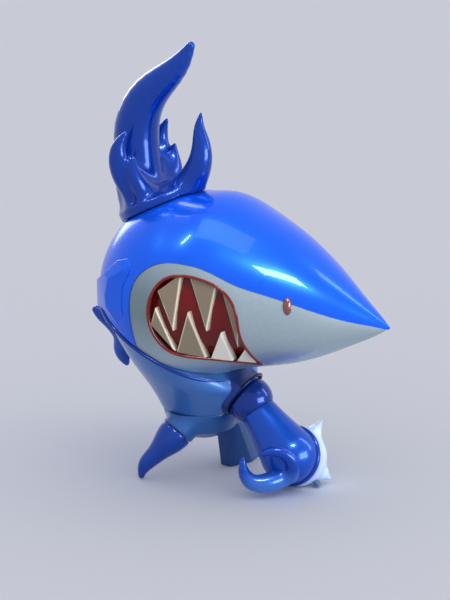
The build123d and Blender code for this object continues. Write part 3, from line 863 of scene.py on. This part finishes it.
# crest: one flame, a front horn and two curling side leaves
crest = {
    "tilt": 27.0, "spread": 26.0, "pad": 4.2, "gap": 0.3, "step": 0.7, "blend": 6.5,
    "padRound": 1.5, "padFloor": 0.6, "hollowBlend": 2.0, "seatRoom": 0.1, "smooth": 12,
    "flame": [
        ((-20, 0, 132), 12.0), ((-28.9, 0, 144.7), 13.0), ((-31.2, 0, 159.9), 11.8),
        ((-32.3, 0, 175.3), 11.7), ((-30, 0, 187), 10.9), ((-23.1, 0, 198.3), 9.4),
        ((-12.7, 0, 207.9), 7.2), ((-4.6, 0, 216.3), 4.8), ((0.4, 0, 224), 2.3)],
    "horn": [((-6, 0, 144), 8.6), ((0.5, 0, 154), 7.6), ((5.6, 0, 164.9), 6.2), ((6.2, 0, 175.2), 4.5),
        ((5.2, 0, 182.9), 2.7), ((6.2, 0, 189.8), 1.0)],
    "leaf": [((-20, 9, 142), 8.0), ((-26, 16, 153), 7.0), ((-30.5, 20, 164), 5.2),
        ((-30, 20.8, 173), 3.5), ((-26.2, 20, 180.3), 1.1)],
    "prong": [((-20.5, 14, 148), 4.6), ((-20.5, 19, 156.5), 3.1), ((-21.8, 20.3, 163), 2.0),
        ((-21.3, 20, 167.8), 0.9)],
    "hollow": [((-22, 21.5, 146), 2.4), ((-24.5, 25.5, 156), 3.0), ((-27, 26.0, 167), 1.6)]}


def pathOf(points, side=1, mapper=None):
    out = []
    for (x, y, z), radius in points:
        place = np.array([x, side * y, z]) + stanceShift if mapper is None else mapper((x, y, z))
        out.append((tuple(place), radius))
    return hornChain(out, 22)


def capsuleField(points, chain):
    best = np.full(len(points), 1e6)
    for (ax, ay, az, ar), (bx, by, bz, br) in zip(chain[:-1], chain[1:]):
        a, b = np.array([ax, ay, az]), np.array([bx, by, bz])
        way = b - a
        share = np.clip(((points - a) @ way) / max(way @ way, 1e-9), 0, 1)
        away = points - a - share[:, None] * way
        best = np.minimum(best, np.sqrt(np.einsum("ij,ij->i", away, away)) - (ar + (br - ar) * share))
    return best


def headField(points):
    local = points - headCentre
    ball = np.linalg.norm(local, axis=1) - head["radius"]
    level, half, width = headSection(np.maximum(local[:, 0], 0))
    scaled = np.sqrt((local[:, 1] / width) ** 2 + ((local[:, 2] - level) / half) ** 2)
    return np.where(local[:, 0] < 0, ball, (scaled - 1) * np.minimum(half, width))


def makeCrest():
    tilt = math.radians(crest["tilt"])
    axis = np.array([-math.sin(tilt), 0, math.cos(tilt)])
    chains = [pathOf(crest["flame"]), pathOf(crest["horn"])]
    hollows = []
    for side in (1, -1):
        chains += [pathOf(crest["leaf"], side), pathOf(crest["prong"], side)]
        hollows.append(pathOf(crest["hollow"], side))
    footRadius = head["radius"] * math.sin(math.radians(crest["spread"]))
    soft = crest["padRound"]

    def field(points):
        local = points - headCentre
        along = local @ axis
        around = np.linalg.norm(local - along[:, None] * axis, axis=1)
        above = np.linalg.norm(local, axis=1) - head["radius"] - crest["gap"] - crest["pad"]
        pad = np.maximum(above + soft, around - footRadius + soft)
        pad = np.maximum(pad, head["radius"] * crest["padFloor"] - along) - soft
        value = pad
        for chain in chains:
            value = blendFields(value, capsuleField(points, chain), crest["blend"])
        for chain in hollows:
            value = -blendFields(-value, capsuleField(points, chain), crest["hollowBlend"])
        return np.maximum(value, crest["gap"] + crest["seatRoom"] - headField(points))

    low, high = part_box("flame_crest")
    piece = skin("flameCrest", field, np.array(low) / mm - 2, np.array(high) / mm + 2, crest["step"])
    relax(piece, crest["smooth"])
    finishPiece(shadeByAngle(piece, 50), "flameBlue", "crest", ["flame_crest"])
    print("crest made")


# torso
body = {
    "rim": 44.3, "spare": 1.5, "edge": 0.55,    # spare is cut off square at both ends
    "sections": [((1.0, 1.0, 57.0), 34.5, 0.5), ((5.5, 0.5, 45.0), 27.0, 0.15),
                 ((6.0, 1.5, 35.3), 21.5, 0.0)],
    "cupRadius": 12.6, "cupWall": 1.4, "cupOut": 1.5, "cupIn": -8.0, "shadeBead": 1.0, "shadeBeadDrop": -1.1,
    "sink": 0.1, "bellyFacing": 45, "bellyWidth": 17.0, "bellyHeight": 9.5, "bellyLevel": 47.0,
    "bellyProud": 0.8, "bellyDeep": 0.8, "bellyEdge": 0.4}
upWay = np.array([0.0, 0.0, 1.0])
waistPlace = jointPlace("waist_swivel")[0]


def torsoForm(name, inset, rows=70, columns=160):
    sections = [(*neckPlace, body["rim"], *neckAxis)]
    for centre, radius, share in body["sections"]:
        sections.append((*stance(centre), radius, *unit(upWay * (1 - share) + neckAxis * share)))
    line = splineThrough(sections, rows)
    rings = []
    turns = np.linspace(0, 2 * math.pi, columns, endpoint=False)
    for row in line:
        across, up = sideAxes(row[4:7])
        rings.append(row[:3]
            + (np.cos(turns)[:, None] * across + np.sin(turns)[:, None] * up) * (row[3] - inset))
    rings = [rings[0] + neckAxis * body["spare"]] + rings + [rings[-1] - upWay * body["spare"]]
    return tube(name, rings)


def makeTorso():
    torso = torsoForm("torsoShell", 0.0)
    for name in ("right", "left"):
        seat, axis = jointPlace(name + "_shoulder_swivel")
        outer = body["cupRadius"] + body["cupWall"]
        cup = lathe("cup", seat, axis,
            [(body["cupIn"], 0), (body["cupIn"], outer), (body["cupOut"], outer), (body["cupOut"], 0)])
        carve(torso, cup, "UNION")
        bore = lathe("bore", seat, axis, [(0, 0), (0, body["cupRadius"]), (60, body["cupRadius"]), (60, 0)])
        carve(torso, bore)
    carve(torso, boxBelow("top", neckPlace, neckAxis))
    carve(torso, boxBelow("base", waistPlace, -upWay))
    turned = math.radians(body["bellyFacing"])
    facing = stanceWay((math.cos(turned), math.sin(turned), 0))
    spot = np.array([waistPlace[0], waistPlace[1], body["bellyLevel"] + stanceShift[2]])
    across = np.cross(upWay, facing)
    turns = np.linspace(0, 2 * math.pi, 72, endpoint=False)
    rings = [spot + facing * out + np.cos(turns)[:, None] * across * body["bellyWidth"]
             + np.sin(turns)[:, None] * upWay * body["bellyHeight"] for out in (1.0, 60.0)]
    patch = torsoForm("bellyPlate", -body["bellyProud"])
    carve(patch, tube("oval", rings), "INTERSECT")
    carve(patch, torsoForm("core", body["bellyDeep"]))
    softenEdges(torso, body["edge"], 40, 3)
    # painted shade: the torso is darkened around the shoulder cups
    co = vertsOf(torso)
    paintedShade = np.zeros(len(co))
    for name in ("right", "left"):
        seat, axis = jointPlace(name + "_shoulder_swivel")
        along = (co - seat) @ axis
        around = np.linalg.norm(co - seat - along[:, None] * axis, axis=1)
        fromCup = np.clip((body["cupRadius"] + body["cupWall"] + 0.6 - around) / 0.5, 0, 1)
        paintedShade = np.maximum(paintedShade, fromCup * (along > body["cupIn"] - 3))
    setMask(torso, "cupPaintedShade", paintedShade)
    finishPiece(shadeByAngle(torso, 35), "torsoBlue", "torso", ["torso_shell"])
    softenEdges(patch, body["bellyEdge"], 40, 3)
    finishPiece(shadeByAngle(patch, 35), "silver", "torso", ["belly_plate"])

    # a dark bead stands in for the shadow line under the head (painted shade)
    shadeBead = ringBead("neckShadeBead", neckPlace, neckAxis, body["shadeBeadDrop"], body["rim"] - body["sink"],
                      body["shadeBead"], 160)
    finishPiece(shadeBead, "shadeBlue", "torso", [])
    for name in ("right", "left"):
        seat, axis = jointPlace(name + "_shoulder_swivel")
        middle, thick = body["cupRadius"] + body["cupWall"] / 2, body["cupWall"] / 2 + 0.05
        rim = ringBead("cupRim" + name.title(), seat, axis, body["cupOut"] - body["sink"], middle, thick, 96)
        finishPiece(rim, "rimBlack", "torso", [])
    print("torso made")


def ringBead(name, origin, axis, along, radius, thick, count):
    across, up = sideAxes(axis)
    axis = unit(axis)
    turns = np.linspace(0, 2 * math.pi, count, endpoint=False)
    section = np.linspace(0, 2 * math.pi, 14, endpoint=False)
    verts = []
    for turn in turns:
        out = math.cos(turn) * across + math.sin(turn) * up
        for s in section:
            verts.append(np.asarray(origin) + axis * (along + math.sin(s) * thick)
                + out * (radius + math.cos(s) * thick))
    m = len(section)
    faces = [
        (i * m + j, i * m + (j + 1) % m, ((i + 1) % count) * m + (j + 1) % m, ((i + 1) % count) * m + j)
        for i in range(count) for j in range(m)]
    ring = makeObject(name, verts, faces)
    recalcNormals(ring)
    return ring


# pelvis, foot and tail
pelvis = {
    "radius": 21.0, "depth": 16.3, "gap": 0.3, "tailRoot": 9.0, "tailDeep": 10, "pocketRoom": 0.3,
    "shoulder": (4.3, 1.0), "flank": (0.68, 0.82), "base": (1.0, 0.50), "floor": 0.40, "step": 0.7,
    "blend": 3.0}


def bowlSide(radius, bottom):
    return [(-pelvis["shoulder"][0], radius - pelvis["shoulder"][1]),
            (bottom * pelvis["flank"][0], radius * pelvis["flank"][1]),
            (bottom + pelvis["base"][0], radius * pelvis["base"][1])]


def makePelvis():
    radius, bottom = pelvis["radius"], -pelvis["depth"]
    side = bowlSide(radius, bottom)
    heights = [0.0, -pelvis["gap"], *(h for h, w in side), bottom, bottom - 6]
    widths = [radius, radius, *(w for h, w in side), radius * pelvis["floor"], 0.5]
    tailSeat, tailAxis = jointPlace("tail_swivel")
    root = pelvis["tailRoot"]

    def field(points):
        local = points - waistPlace
        around = np.hypot(local[:, 0], local[:, 1])
        value = (around - np.interp(-local[:, 2], [-h for h in heights], widths)) * 0.8
        value = np.maximum(value, bottom - local[:, 2])
        fromTail = points - tailSeat
        along = fromTail @ tailAxis
        out = np.linalg.norm(fromTail - along[:, None] * tailAxis, axis=1)
        boss = np.maximum(np.maximum(out - root, along), -along - pelvis["tailDeep"])
        value = blendFields(value, boss, pelvis["blend"])
        value = np.maximum(value, -np.maximum(out - root - pelvis["pocketRoom"], -along))
        return np.maximum(value, local[:, 2] + pelvis["gap"])

    low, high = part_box("pelvis_shell")
    low, high = np.array(low) / mm - 3, np.array(high) / mm + 3
    high[2] = waistPlace[2] + 2
    bowl = skin("pelvisShell", field, low, high, pelvis["step"])
    relax(bowl, 5)
    finishPiece(shadeByAngle(bowl, 45), "bodyBlue", "pelvis", ["pelvis_shell"])
    print("pelvis made")


# outlines are shares of the length and of half the width
foot = {
    "heel": (18, 4.8, 0), "turn": 53.0, "length": 25.0, "width": 14.0, "ankle": 24.0, "room": 0.4,
    "edge": 1.1, "sole": [(0, -0.45), (0, 0.45), (0.55, 1.0), (1.0, 0.6), (1.0, -0.6), (0.55, -1.0)],
    "ankleLine": [
        (-0.16, -0.5), (-0.16, 0.5), (0.08, 0.95), (0.44, 0.75), (0.44, -0.75), (0.08, -0.95)]}


def makeFoot():
    across = foot["width"] / 2
    turn = math.radians(foot["turn"])
    verts = []
    for outline, height in ((foot["sole"], 0.0), (foot["ankleLine"], foot["ankle"])):
        for forward, side in outline:
            x, y = forward * foot["length"], side * across
            verts.append(stance((foot["heel"][0] + x * math.cos(turn) - y * math.sin(turn),
                                 foot["heel"][1] + x * math.sin(turn) + y * math.cos(turn), height)))
    faces = [(0, 1, 2, 3, 4, 5), (11, 10, 9, 8, 7, 6)]
    faces += [(i, 6 + i, 6 + (i + 1) % 6, (i + 1) % 6) for i in range(6)]
    piece = makeObject("footBlock", verts, faces, smooth=False)
    recalcNormals(piece)
    radius, bottom = pelvis["radius"] - foot["room"], -pelvis["depth"] + foot["room"]
    side = splineThrough([(-0.5, radius)] + bowlSide(radius, bottom), 30)
    tool = lathe("bowl", waistPlace, upWay,
        [(40, 0), (40, radius)] + [tuple(p) for p in side] + [(bottom, radius * 0.38), (bottom, 0)], 96)
    carve(piece, tool)
    softenEdges(piece, foot["edge"], 12, 4)
    finishPiece(shadeByAngle(piece, 22), "footBlue", "pelvis", ["foot_block"])
    print("foot made")


tail = {
    "path": [
        ((-6.4, -12.6, 25.8), 9.0), ((-9.6, -14.2, 22.4), 8.5), ((-14.0, -15.2, 17.8), 6.6),
        ((-18.8, -15.6, 12.8), 5.0), ((-23.4, -15.7, 8.0), 4.0), ((-25.3, -15.6, 4.2), 2.6),
        ((-25.9, -15.5, 1.2), 1.7)], "step": 0.6}


def makeTail():
    chain = pathOf(tail["path"], mapper=stance)
    seat, axis = jointPlace("tail_swivel")

    def field(points):
        value = capsuleField(points, chain)
        value = np.maximum(value, 0.3 - (points - seat) @ axis)
        return np.maximum(value, -points[:, 2])

    low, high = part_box("tail")
    piece = skin("tailHorn", field, np.array(low) / mm - 3, np.array(high) / mm + 3, tail["step"])
    relax(piece, 8)
    finishPiece(shadeByAngle(piece, 50), "tailBlue", "tail", ["tail"])
    print("tail made")


# arms
arm = {
    "ball": 12.0, "ballOffset": 5.9, "small": 9.4, "elbow": 15.0, "cuffStart": 1.5, "cuff": 3.0,
    "cuffRadius": 16.0, "cuffRound": 1.1, "tabWide": 2.4, "tabThick": 1.15, "tabRoot": 1.6,
    "gloveRadius": 15.5, "gloveOffset": 8.7, "knuckles": [(-113.6, 10.0, 23.2), (-16.4, 38.5, 21.9)],
    "tab": (0.6, 18.7, 18.6), "step": 0.65, "blend": 3.0, "edge": 0.4, "tabEdge": 0.5,
    "spikeRoot": (10.5, 6.0), "spikeMiddle": (15.5, 3.9), "spikeTip": 0.9, "cuffFade": 5.0,
    "knuckleFade": 6.5, "curlFloorHighlight": 0.85, "curlHighlightStrength": 0.3, "curlHighlightReach": 30}
curls = {
    "right": [
        [((50, -34, 11), 6.5), ((44, -41, 8.2), 5.6), ((38, -44.5, 7.4), 5.0), ((31, -46, 8.5), 4.2),
            ((27.0, -46, 14), 2.9), ((26.6, -45.6, 20.8), 1.0)],
        [((51, -41, 11), 4.4), ((51.5, -43.5, 18), 3.8), ((47.8, -45.0, 23), 3.2), ((42, -46, 24.8), 2.6),
            ((37, -46, 23.6), 1.7), ((35, -45.8, 22.2), 0.9)]],
    "left": [
        [((-28, 66, 54), 7.4), ((-38, 66, 57), 6.2), ((-43.5, 66, 61.5), 4.8), ((-48.8, 66, 65.9), 4.0),
            ((-52.6, 66, 68.6), 2.3)],
        [((-29, 66, 54), 6.9), ((-37, 66, 51.5), 5.6), ((-38.5, 66, 45), 4.3), ((-36.3, 66, 38.5), 1.8)]]}


def makeArm(name):
    label = name.title()
    armBody, handBody = "arm_" + name, "hand_" + name
    seat, axis = jointPlace(name + "_shoulder_swivel")
    elbow, wrist = jointPlace(name + "_wrist_swivel")
    ball = seat + axis * arm["ballOffset"]
    sleeveAxis, reach = unit(elbow - ball), np.linalg.norm(elbow - ball)
    jointAt = math.sqrt(arm["ball"] ** 2 - arm["small"] ** 2)

    turns = np.linspace(-math.pi / 2, math.asin(jointAt / arm["ball"]), 60)
    profile = [(math.sin(t) * arm["ball"], math.cos(t) * arm["ball"]) for t in turns] + [(jointAt, 0)]
    shoulder = lathe("shoulderBall" + label, ball, sleeveAxis, profile, 128)
    carve(shoulder, boxBelow("seat", seat + axis * 0.3, -axis))
    softenEdges(shoulder, arm["edge"], 45, 2)
    # the ball's darker blue is painted shade, as it sits in the cup
    finishPiece(shadeByAngle(shoulder, 35), "shadeBlue", armBody, ["shoulder_ball_" + name])

    # the sleeve: a flare from the ball into the round elbow, cut square to the wrist
    elbowAt = math.asin((arm["elbow"] - arm["small"]) / reach)
    turns = np.linspace(-elbowAt - 0.08, math.pi / 2, 60)
    profile = [(jointAt, 0), (jointAt, arm["small"] - 0.5), (jointAt + 0.15, arm["small"] - 0.12),
        (jointAt + 0.6, arm["small"])]
    profile += [(reach + math.sin(t) * arm["elbow"], math.cos(t) * arm["elbow"]) for t in turns]
    start, end = profile[3], profile[4]
    straight = [(start[0] + (end[0] - start[0]) * s,
        start[1] + (end[1] - start[1]) * s - 0.5 * math.sin(math.pi * s))
        for s in np.linspace(0, 1, 24)[1:-1]]
    profile = profile[:4] + straight + profile[4:]
    sleeve = lathe("sleeve" + label, ball, sleeveAxis, profile, 144)
    carve(sleeve, boxBelow("wristPlane", elbow + wrist * arm["cuffStart"], wrist))
    softenEdges(sleeve, arm["edge"], 40, 2)
    finishPiece(shadeByAngle(sleeve, 35), "armBlue", armBody, ["sleeve_" + name])

    cuffEnd = arm["cuffStart"] + arm["cuff"]
    soft, quarter = arm["cuffRound"], np.linspace(0, math.pi / 2, 9)
    rim = arm["cuffRadius"] - soft
    rounding = [(cuffEnd - soft + math.sin(t) * soft, rim + math.cos(t) * soft) for t in quarter]
    lower = [(arm["cuffStart"] + soft - math.sin(t) * soft, rim + math.cos(t) * soft)
        for t in quarter[::-1]]
    cuff = lathe("cuffRing" + label, elbow, wrist,
        [(arm["cuffStart"], 0)] + lower + rounding + [(cuffEnd, 0)], 128)
    finishPiece(cuff, "flameBlue", armBody, ["cuff_ring_" + name])

    chains = [pathOf(path, mapper=stance) for path in curls[name]]

    def curlField(points):
        value = blendFields(capsuleField(points, chains[0]), capsuleField(points, chains[1]), arm["blend"])
        local = points - elbow
        inside = np.linalg.norm(local, axis=1) - arm["elbow"]
        value = np.maximum(value, -inside - 1.5)
        along = local @ wrist
        around = np.linalg.norm(local - along[:, None] * wrist, axis=1)
        cuffZone = np.maximum(around - arm["cuffRadius"] - 0.3, arm["cuffStart"] - 0.2 - along)
        value = np.maximum(value, -cuffZone)
        return np.maximum(value, -points[:, 2])

    low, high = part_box("elbow_flame_" + name)
    spread = np.concatenate([c[:, :3] for c in chains])
    low = np.minimum(np.array(low) / mm, spread.min(axis=0)) - 4
    high = np.maximum(np.array(high) / mm, spread.max(axis=0)) + 4
    flame = skin("elbowFlame" + label, curlField, low, high, arm["step"])
    relax(flame, 7)
    co = vertsOf(flame)
    if name == "right":    # painted highlight: lighter where the curl sweeps along the floor
        paintedHighlight = np.clip(1.3 - co[:, 2] / 11, 0, 1) * arm["curlFloorHighlight"]
    else:
        # painted highlight: the left curl is lightened towards the elbow
        near = np.clip(1 - np.linalg.norm(co - elbow, axis=1) / arm["curlHighlightReach"], 0, 1)
        paintedHighlight = near * arm["curlHighlightStrength"]
    setMask(flame, "curlPaintedHighlight", paintedHighlight)
    finishPiece(shadeByAngle(flame, 50), "curlBlue", armBody, ["elbow_flame_" + name])

    hand = elbow + wrist * arm["gloveOffset"]
    across = unit(sleeveAxis - wrist * np.dot(sleeveAxis, wrist))
    along2 = np.cross(wrist, across)

    def tipOf(turn, lift, far):
        turn, lift = math.radians(turn), math.radians(lift)
        return hand + (across * math.cos(lift) * math.cos(turn) + along2 * math.cos(lift) * math.sin(turn)
            + wrist * math.sin(lift)) * far

    tips = [tipOf(*k) for k in arm["knuckles"]]
    spikes = []
    for tip in tips:
        out = unit(tip - hand)
        middle = [(*(hand + out * far), wide) for far, wide in (arm["spikeRoot"], arm["spikeMiddle"])]
        spikes.append(np.array(middle + [(*(tip - out * arm["spikeTip"]), arm["spikeTip"])]))

    def gloveField(points):
        value = np.linalg.norm(points - hand, axis=1) - arm["gloveRadius"]
        for spike in spikes:
            value = blendFields(value, capsuleField(points, spike), arm["blend"])
        value = np.maximum(value, cuffEnd + 0.3 - (points - elbow) @ wrist)
        return np.maximum(value, -points[:, 2])

    low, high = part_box("glove_" + name)
    glove = skin("glove" + label, gloveField, np.array(low) / mm - 3, np.array(high) / mm + 3, arm["step"])
    relax(glove, 8)
    co = vertsOf(glove)
    fromCuff = (co - elbow) @ wrist - cuffEnd
    fade = 0.55 * np.clip(1 - fromCuff / arm["cuffFade"], 0, 1) ** 1.5
    for tip in tips:
        fromTip = np.linalg.norm(co - tip, axis=1) / arm["knuckleFade"]
        fade = np.maximum(fade, 0.28 * np.clip(1 - fromTip, 0, 1))
    setMask(glove, "cuffFade", fade)
    finishPiece(shadeByAngle(glove, 45), "glove", handBody, ["glove_" + name])

    tabTip = tipOf(*arm["tab"])
    out = unit(tabTip - hand)
    side = unit(wrist - out * np.dot(wrist, out))
    flat = np.cross(out, side)
    corners = ((-1, -1), (1, -1), (1, 1), (-1, 1))
    verts = [hand + out * reachOut + side * a * arm["tabWide"] + flat * b * arm["tabThick"]
             for reachOut in (arm["gloveRadius"] - arm["tabRoot"], arm["tab"][2]) for a, b in corners]
    tab = makeObject("strapTab" + label, verts, boxFaces, smooth=False)
    recalcNormals(tab)
    softenEdges(tab, arm["tabEdge"], 30, 3)
    for vertex in tab.data.vertices:
        vertex.co.z = max(vertex.co.z, 0.0)
    finishPiece(shadeByAngle(tab, 30), "darkTab", handBody, ["strap_tab_" + name])
    print("arm made", name)


makeCrest()
makeTorso()
makePelvis()
makeFoot()
makeTail()
makeArm("right")
makeArm("left")
frame["nodes"]["neck_plug"].data.materials.clear()
frame["nodes"]["neck_plug"].data.materials.append(finishes["inner"])

# studio: pale floor, soft boxes, camera
studio = {
    "floor": 6.0, "floorColour": (0.93, 0.94, 0.96), "world": (0.63, 0.645, 0.71), "worldStrength": 1.0,
    "target": (17.5, 0.0, 91.6), "azimuth": 30.0, "elevation": 15.0, "distance": 1.29, "lens": 150.0}


def makeFloor():
    size = studio["floor"]
    cells = 24
    line = np.linspace(-size, size, cells + 1)
    verts = [(x / mm, y / mm, -0.4) for x in line for y in line]
    faces = [(i * (cells + 1) + j, (i + 1) * (cells + 1) + j, (i + 1) * (cells + 1) + j + 1,
        i * (cells + 1) + j + 1) for i in range(cells) for j in range(cells)]
    floor = makeObject("studioFloor", verts, faces)
    material = bpy.data.materials.new("studioFloor")
    material.use_nodes = True
    nodes, links = material.node_tree.nodes, material.node_tree.links
    shader = nodes["Principled BSDF"]
    noise = nodes.new("ShaderNodeTexNoise")
    noise.inputs["Scale"].default_value = 3
    ramp = nodes.new("ShaderNodeValToRGB")
    r, g, b = studio["floorColour"]
    ramp.color_ramp.elements[0].color = (r * 0.98, g * 0.98, b * 0.98, 1)
    ramp.color_ramp.elements[1].color = (r, g, b, 1)
    links.new(noise.outputs["Fac"], ramp.inputs["Fac"])
    links.new(ramp.outputs["Color"], shader.inputs["Base Color"])
    shader.inputs["Roughness"].default_value = 0.85
    shader.inputs["Specular IOR Level"].default_value = 0.15
    floor.data.materials.append(material)
    floor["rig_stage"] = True
    return floor


def makeWorld():
    world = bpy.data.worlds.new("studio")
    world.use_nodes = True
    back = world.node_tree.nodes["Background"]
    back.inputs["Color"].default_value = (*studio["world"], 1)
    back.inputs["Strength"].default_value = studio["worldStrength"]
    bpy.context.scene.world = world


litPieces = bpy.data.collections.new("litPieces")


def gatherPieces():
    for piece in bpy.context.scene.objects:
        if piece.type == "MESH" and "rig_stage" not in piece:
            litPieces.objects.link(piece)


# azimuth, elevation, distance, width, height, power, aim
softBoxes = {
    "keyBox": (52, 50, 0.9, 0.30, 0.12, 3.6, (0.0, 0.0, 0.10)),
    "fillTop": (10, 82, 1.0, 0.5, 0.5, 1.4, (0.0, 0.0, 0.10)),
    "leftStrip": (-40, 57, 0.9, 0.06, 0.2, 1.1, (0.0, 0.0, 0.10)),
    "lowRight": (86, 2, 0.8, 0.5, 0.35, 4.5, (0.05, 0.0, 0.08)),
    "rimRight": (128, 30, 0.9, 0.12, 0.8, 1.8, (0.0, 0.0, 0.10)),
    "rimBack": (-125, 30, 0.9, 0.4, 0.9, 3.6, (0.0, 0.0, 0.10)),
}


def softBox(name, azimuth, elevation, distance, width, height, power, target):
    data = bpy.data.lights.new(name, "AREA")
    data.shape = "RECTANGLE"
    data.size, data.size_y = width, height
    data.energy = power
    light = bpy.data.objects.new(name, data)
    bpy.context.scene.collection.objects.link(light)
    a, e = math.radians(azimuth), math.radians(elevation)
    way = Vector((math.sin(a) * math.cos(e), -math.cos(a) * math.cos(e), math.sin(e)))
    light.location = Vector(target) + way * distance
    light.rotation_euler = way.to_track_quat("Z", "Y").to_euler()
    light.light_linking.receiver_collection = litPieces
    return light


def makeCamera():
    data = bpy.data.cameras.new("studioCamera")
    data.lens, data.sensor_width = studio["lens"], 36
    data.sensor_fit = "VERTICAL"
    data.sensor_height = 36
    camera = bpy.data.objects.new("studioCamera", data)
    bpy.context.scene.collection.objects.link(camera)
    target = Vector(stance(studio["target"]) * mm)
    a, e = math.radians(studio["azimuth"]), math.radians(studio["elevation"])
    way = Vector((math.sin(a) * math.cos(e), -math.cos(a) * math.cos(e), math.sin(e)))
    camera.location = target + way * studio["distance"]
    camera.rotation_euler = way.to_track_quat("Z", "Y").to_euler()
    bpy.context.scene.camera = camera


makeFloor()
makeWorld()
gatherPieces()
for name, place in softBoxes.items():
    softBox(name, *place)
makeCamera()
bpy.context.scene.view_settings.view_transform = "Standard"
print("studio made")
